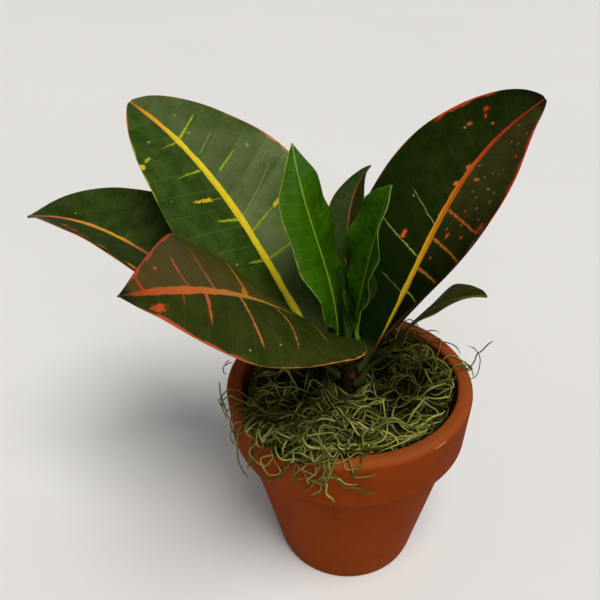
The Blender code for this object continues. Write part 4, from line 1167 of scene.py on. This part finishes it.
def mat_strands(name, number, stations, step, tight, lift, arch, thin, front, tone, sides):
    """Curls all over the moss: each is a curly path laid on its surface, rising and
    sinking in one or two waves, turned back at the mat's edge or the spill's and at the
    stem. front is the share of them that starts where the moss lies over the lip, tight
    how far a strand may loop, lift and arch how high it lies and rises, thin its radius
    and tone how rare the palest are."""
    x, y, g = curl_paths(number, stations, step, tight)
    turn = draw(number, 0, 2 * np.pi)
    chosen = draw(number, 0, 1) < front
    turn = np.where(chosen, np.radians(draw(number, *SPILL_START)), turn)
    place = np.sqrt(draw(number, 0.02, 1.0)) * with_spill(STRAND_START, turn)
    x, y = x + place * np.cos(turn), y + place * np.sin(turn)
    reach, turn = np.hypot(x, y), np.arctan2(y, x)
    reach = turned_back(reach, with_spill(STRAND_END, turn) + draw(number, -9.0, 0.6) * g)
    reach = np.sqrt(reach ** 2 + HOLE_R ** 2)
    base = draw(number, *lift)
    fluff = draw(number, 0, 3.0) * ease(reach, 37, 45) * (1 - ease(reach, 46, 50))
    waves = draw(number, *arch) * np.sin(np.pi * g * draw(number, 1, 4) + draw(number, 0, 1.5))
    off = base + 3.6 * ease(reach, 15, 7) + fluff + waves
    line = moss_place(reach, turn, off)
    # Painted light and shade: strands paler towards LIT_SIDE, darker on the far side.
    light = 0.72 + 0.28 * np.cos(turn[:, stations // 2] - LIT_SIDE)
    shade = rng.uniform(0, 1, number) ** tone * light
    # Painted shade: darker the lower a strand lies, and near the stem under the leaves.
    painted_shade = np.clip(0.60 - off / 2.5 + 0.48 * ease(reach, 38, 14), 0, 0.97)
    return strands(name, line, rng.uniform(*thin, number), shade, painted_shade, sides)


# Loose strands over the lip: their points as heading and distance past the lip's start,
# how far they stand off the clay, and their radius.
LOOSE = (
    (((217, -6), (213, 6), (210, 14), (207, 28), (210, 36), (213, 39)), 1.2, 0.42),
    (((226, -4), (221, 8), (219, 18), (216, 30)), 1.2, 0.45),
    (((212, -5), (207, 5), (203, 16), (204, 24)), 1.6, 0.35),
    (((232, 4), (224, 14), (221, 25), (226, 28), (233, 25), (238, 18), (239, 12),
      (235, 8)), 1.0, 0.4),
    (((238, 6), (230, 12), (227, 19), (231, 23), (236, 19), (234, 11)), 1.3, 0.32),
    (((243, 2), (244, 12), (243, 19), (245, 25)), 1.0, 0.36),
    (((262, 0), (258, 8), (253, 16), (248, 25)), 1.2, 0.5),
    (((254, 2), (256, 10), (257, 19), (260, 28)), 1.1, 0.42),
    (((252, -2), (258, 9), (264, 17), (271, 20), (277, 21)), 1.4, 0.46),
    (((264, -3), (261, 7), (256, 14), (254, 22), (251, 24)), 1.6, 0.36),
    (((248, -2), (246, 8), (249, 15), (254, 17), (258, 14), (256, 8)), 1.5, 0.36),
    (((270, -3), (266, 4), (268, 11), (273, 13), (277, 10)), 1.2, 0.34),
    (((279, -5), (274, 2), (270, 8), (266, 12)), 1.3, 0.38),
    (((200, -6), (195, 3), (190, 9), (193, 14), (199, 12)), 2.2, 0.3),
    (((205, -5), (200, 4), (195, 8), (190, 16), (191, 22)), 2.6, 0.32),
    (((4, -5), (6, 2), (5, 7), (8, 11), (13, 12)), 1.2, 0.3),
    (((-8, -5), (-3, 2), (2, 6), (7, 10), (12, 9)), 2.0, 0.28),
    (((20, -6), (16, 1), (12, 5), (6, 8), (2, 12)), 1.6, 0.32),
    (((40, -6), (34, 0), (28, 4), (22, 6), (17, 10)), 1.6, 0.32),
    (((58, -7), (52, -1), (45, 3), (38, 4), (33, 8)), 1.8, 0.32),
    (((28, -7), (33, -1), (30, 5), (24, 4), (21, -1), (24, -6)), 1.6, 0.3),
    (((47, -6), (43, 1), (46, 6), (52, 5), (55, -1)), 1.4, 0.3),
    (((-6, -7), (0, -1), (6, 2), (12, 1), (16, -4)), 1.4, 0.32),
    (((64, -6), (61, 1), (66, 7), (72, 9)), 1.5, 0.28),
    (((100, -6), (97, 2), (99, 10), (95, 16)), 1.3, 0.32),
    (((150, -6), (153, 1), (151, 8), (156, 13), (160, 12)), 1.5, 0.32),
)
# Strands that stand clear of the rim on both sides: points in mm, and their radius.
FREE = (
    (((50, 1, 99), (54, 1, 100), (56.5, 2, 103), (57.5, 3, 106), (60, 4, 107.5), (62.5, 5, 110),
      (65, 6, 111)), 0.3),
    (((53, -3, 96), (56.5, -3, 98.5), (58.5, 0, 101), (59, 3, 104.5), (57, 6, 107),
      (54, 7, 108)), 0.22),
    (((-53.5, -18, 98.5), (-56, -14.5, 95.5), (-57.2, -8, 93.5), (-58.3, -1.5, 91.5),
      (-58.9, 3, 91), (-59.6, 7, 91.2)), 0.28),
    (((-57.2, -8, 93.5), (-57.5, -13, 97), (-56.5, -18, 99.2), (-54.5, -20.5, 98.8)), 0.22),
    (((-53, 12, 98.4), (-55.5, 10.8, 98.2), (-57, 9, 98), (-57.3, 8, 96),
      (-56, 8.4, 93.8)), 0.26),
    (((-56.5, 10.5, 97.6), (-56.3, 14, 96.8), (-54.9, 16, 96.6)), 0.22),
)


def smooth_line(points, stations):
    """A curve through the points: their running cubic mean of four neighbours."""
    points = np.array(points, float)
    padded = np.vstack([2 * points[:1] - points[1:2], points, 2 * points[-1:] - points[-2:-1]])
    u = np.linspace(0, len(points) - 1.0001, stations)
    k = u.astype(int)
    f = (u - k)[:, None]
    a, b, c, d = (padded[k + i] for i in range(4))
    square, cube = 2 * a - 5 * b + 4 * c - d, 3 * b - a - 3 * c + d
    return 0.5 * (2 * b + (c - a) * f + square * f ** 2 + cube * f ** 3)


def hanging_strands():
    """Loose strands that cross the lip and hang, loop or stand clear of the clay, and beside
    each thick one a thinner one that wanders off."""
    stations = 44
    g = np.linspace(0, 1, stations)
    lines, sizes = [], []
    for points, stand, radius in LOOSE:
        phase = points[0][0]
        path = smooth_line(points, stations)
        for twin in range(2 if radius > 0.33 else 1):
            drift = twin * (2.4 * np.sin(g * 5 + radius * 30) - 8 * g)
            turn = np.radians(path[:, 0] + drift + 0.5 * np.sin(g * 19 + phase))
            thinner = 1 - 0.3 * twin
            arc_length = LIP_START + path[:, 1] * thinner + 0.5 * np.sin(g * 15 + phase)
            off = stand + 0.7 * np.sin(g * 7 + phase) * np.minimum(1, g * 4) + 0.5 * twin
            r, z = lip_path(arc_length, np.maximum(off, 0.8))
            lines.append(polar(r, turn, z))
            sizes.append(radius * thinner)
    for points, radius in FREE:
        lines.append(smooth_line(points, stations))
        sizes.append(radius)
    number = len(lines)
    shade, painted_shade = rng.uniform(0.1, 0.85, number), np.full((number, stations), 0.1)
    shade[-len(FREE):] = 0.15
    return strands("moss_hanging", np.array(lines), np.array(sizes), shade, painted_shade, 6)


def moss_bed():
    """The bed under the strands, a near-black sheet of painted shade: the moss surface sunk by
    about two millimetres, closed by a lower side just over the soil and the lip."""
    turn = np.arange(96)[None, :] / 96 * 2 * np.pi
    share = np.linspace(0, 1, 40)[:, None]
    inner, outer = 7.6, 45.6 + 17.0 * spill_share(turn)
    reach = inner + (outer - inner) * share
    upper = moss_place(reach, np.broadcast_to(turn, reach.shape), -2.2 + 1.2 * share ** 8)
    edge = mat_edge(turn)
    past = np.maximum(reach - (lip_path(edge, EDGE_OFF)[0] - MAT_INSET), 0)
    flat_r = np.minimum(reach, inner_wall(np.array(SOIL_TOP)) - 1.5)
    r_wall, z_wall = lip_path(np.maximum(edge + past * LIP_SLOW - 1.0, 0.4), 0.8)
    on_wall = ease(past, 0.0, 1.0)
    lower = polar(flat_r * (1 - on_wall) + r_wall * on_wall, turn,
                  (SOIL_TOP + GAP) * (1 - on_wall) + z_wall * on_wall)
    rings = np.concatenate([upper, lower[::-1]])
    rows, count = rings.shape[:2]
    last = (rows - 1) * count
    i, following = np.arange(count), (np.arange(count) + 1) % count
    close = np.stack([i + last, following + last, following, i], -1)
    size = rows * count
    return solid("moss_bed", rings, [grid_faces(rows, count), close],
                 {"shade": np.zeros(size), "painted_shade": np.full(size, 0.5)})


MATS = {
    "moss_low": dict(number=640, stations=20, step=1.6, tight=5.0, lift=(-2.4, -1.0),
                     arch=(0.2, 1.0), thin=(0.28, 0.60), front=0.22, tone=2.4, sides=3),
    "moss_high": dict(number=330, stations=44, step=1.2, tight=8.0, lift=(-1.2, 0.4),
                      arch=(0.6, 2.6), thin=(0.28, 0.62), front=0.28, tone=1.9, sides=4),
    "moss_curls": dict(number=150, stations=40, step=1.1, tight=16.0, lift=(-0.8, 0.8),
                       arch=(0.6, 3.0), thin=(0.26, 0.62), front=0.45, tone=1.0, sides=4),
}


def make_moss():
    """The bed of painted shade, the three mats of curls over it and the loose strands."""
    dull, fresh, dark = (0.044, 0.043, 0.005), (0.37, 0.39, 0.100), (0.003, 0.003, 0.001)
    finish = moss_finish("moss_strand_finish", dull, fresh, dark)
    # The bed's near-black crumbs are painted shade between the strands.
    bed = ground_finish("moss_bed_shade_finish", (0.002, 0.002, 0.001), (0.012, 0.011, 0.004), 220.0)
    finish_piece(moss_bed(), bed, "moss", "moss")
    for name, mat in MATS.items():
        finish_piece(mat_strands(name, **mat), finish, "moss", "moss")
    finish_piece(hanging_strands(), finish, "moss", "moss")


# ---------------------------------------------------------------- build
SLOTS = {
    "leaf_back_left": "leaf_yellow_veined", "leaf_left": "leaf_dark_green",
    "leaf_right": "leaf_dark_green", "leaf_front_left": "leaf_bronze",
    "leaf_back_right": "leaf_black_green", "leaf_back": "leaf_black_green",
    "young_leaf_left": "leaf_young_green", "young_leaf_right": "leaf_young_green",
}
make_camera()
make_studio()
make_pot()
make_stem()
make_moss()
for leaf_name, leaf_shape in LEAVES.items():
    make_leaf(leaf_name, leaf_shape, LOOKS[leaf_name], SLOTS[leaf_name], leaf_name)
for leaf_name, leaf_shape in BUD_LEAVES.items():
    make_leaf(leaf_name, leaf_shape, BUD_LOOK, "leaf_young_green")
soil_finish = ground_finish("potting_soil_finish", (0.012, 0.008, 0.005), (0.06, 0.04, 0.022),
                            160.0)
soil_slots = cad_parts["soil"].data.materials
for slot_index in range(len(soil_slots)):
    soil_slots[slot_index] = soil_finish
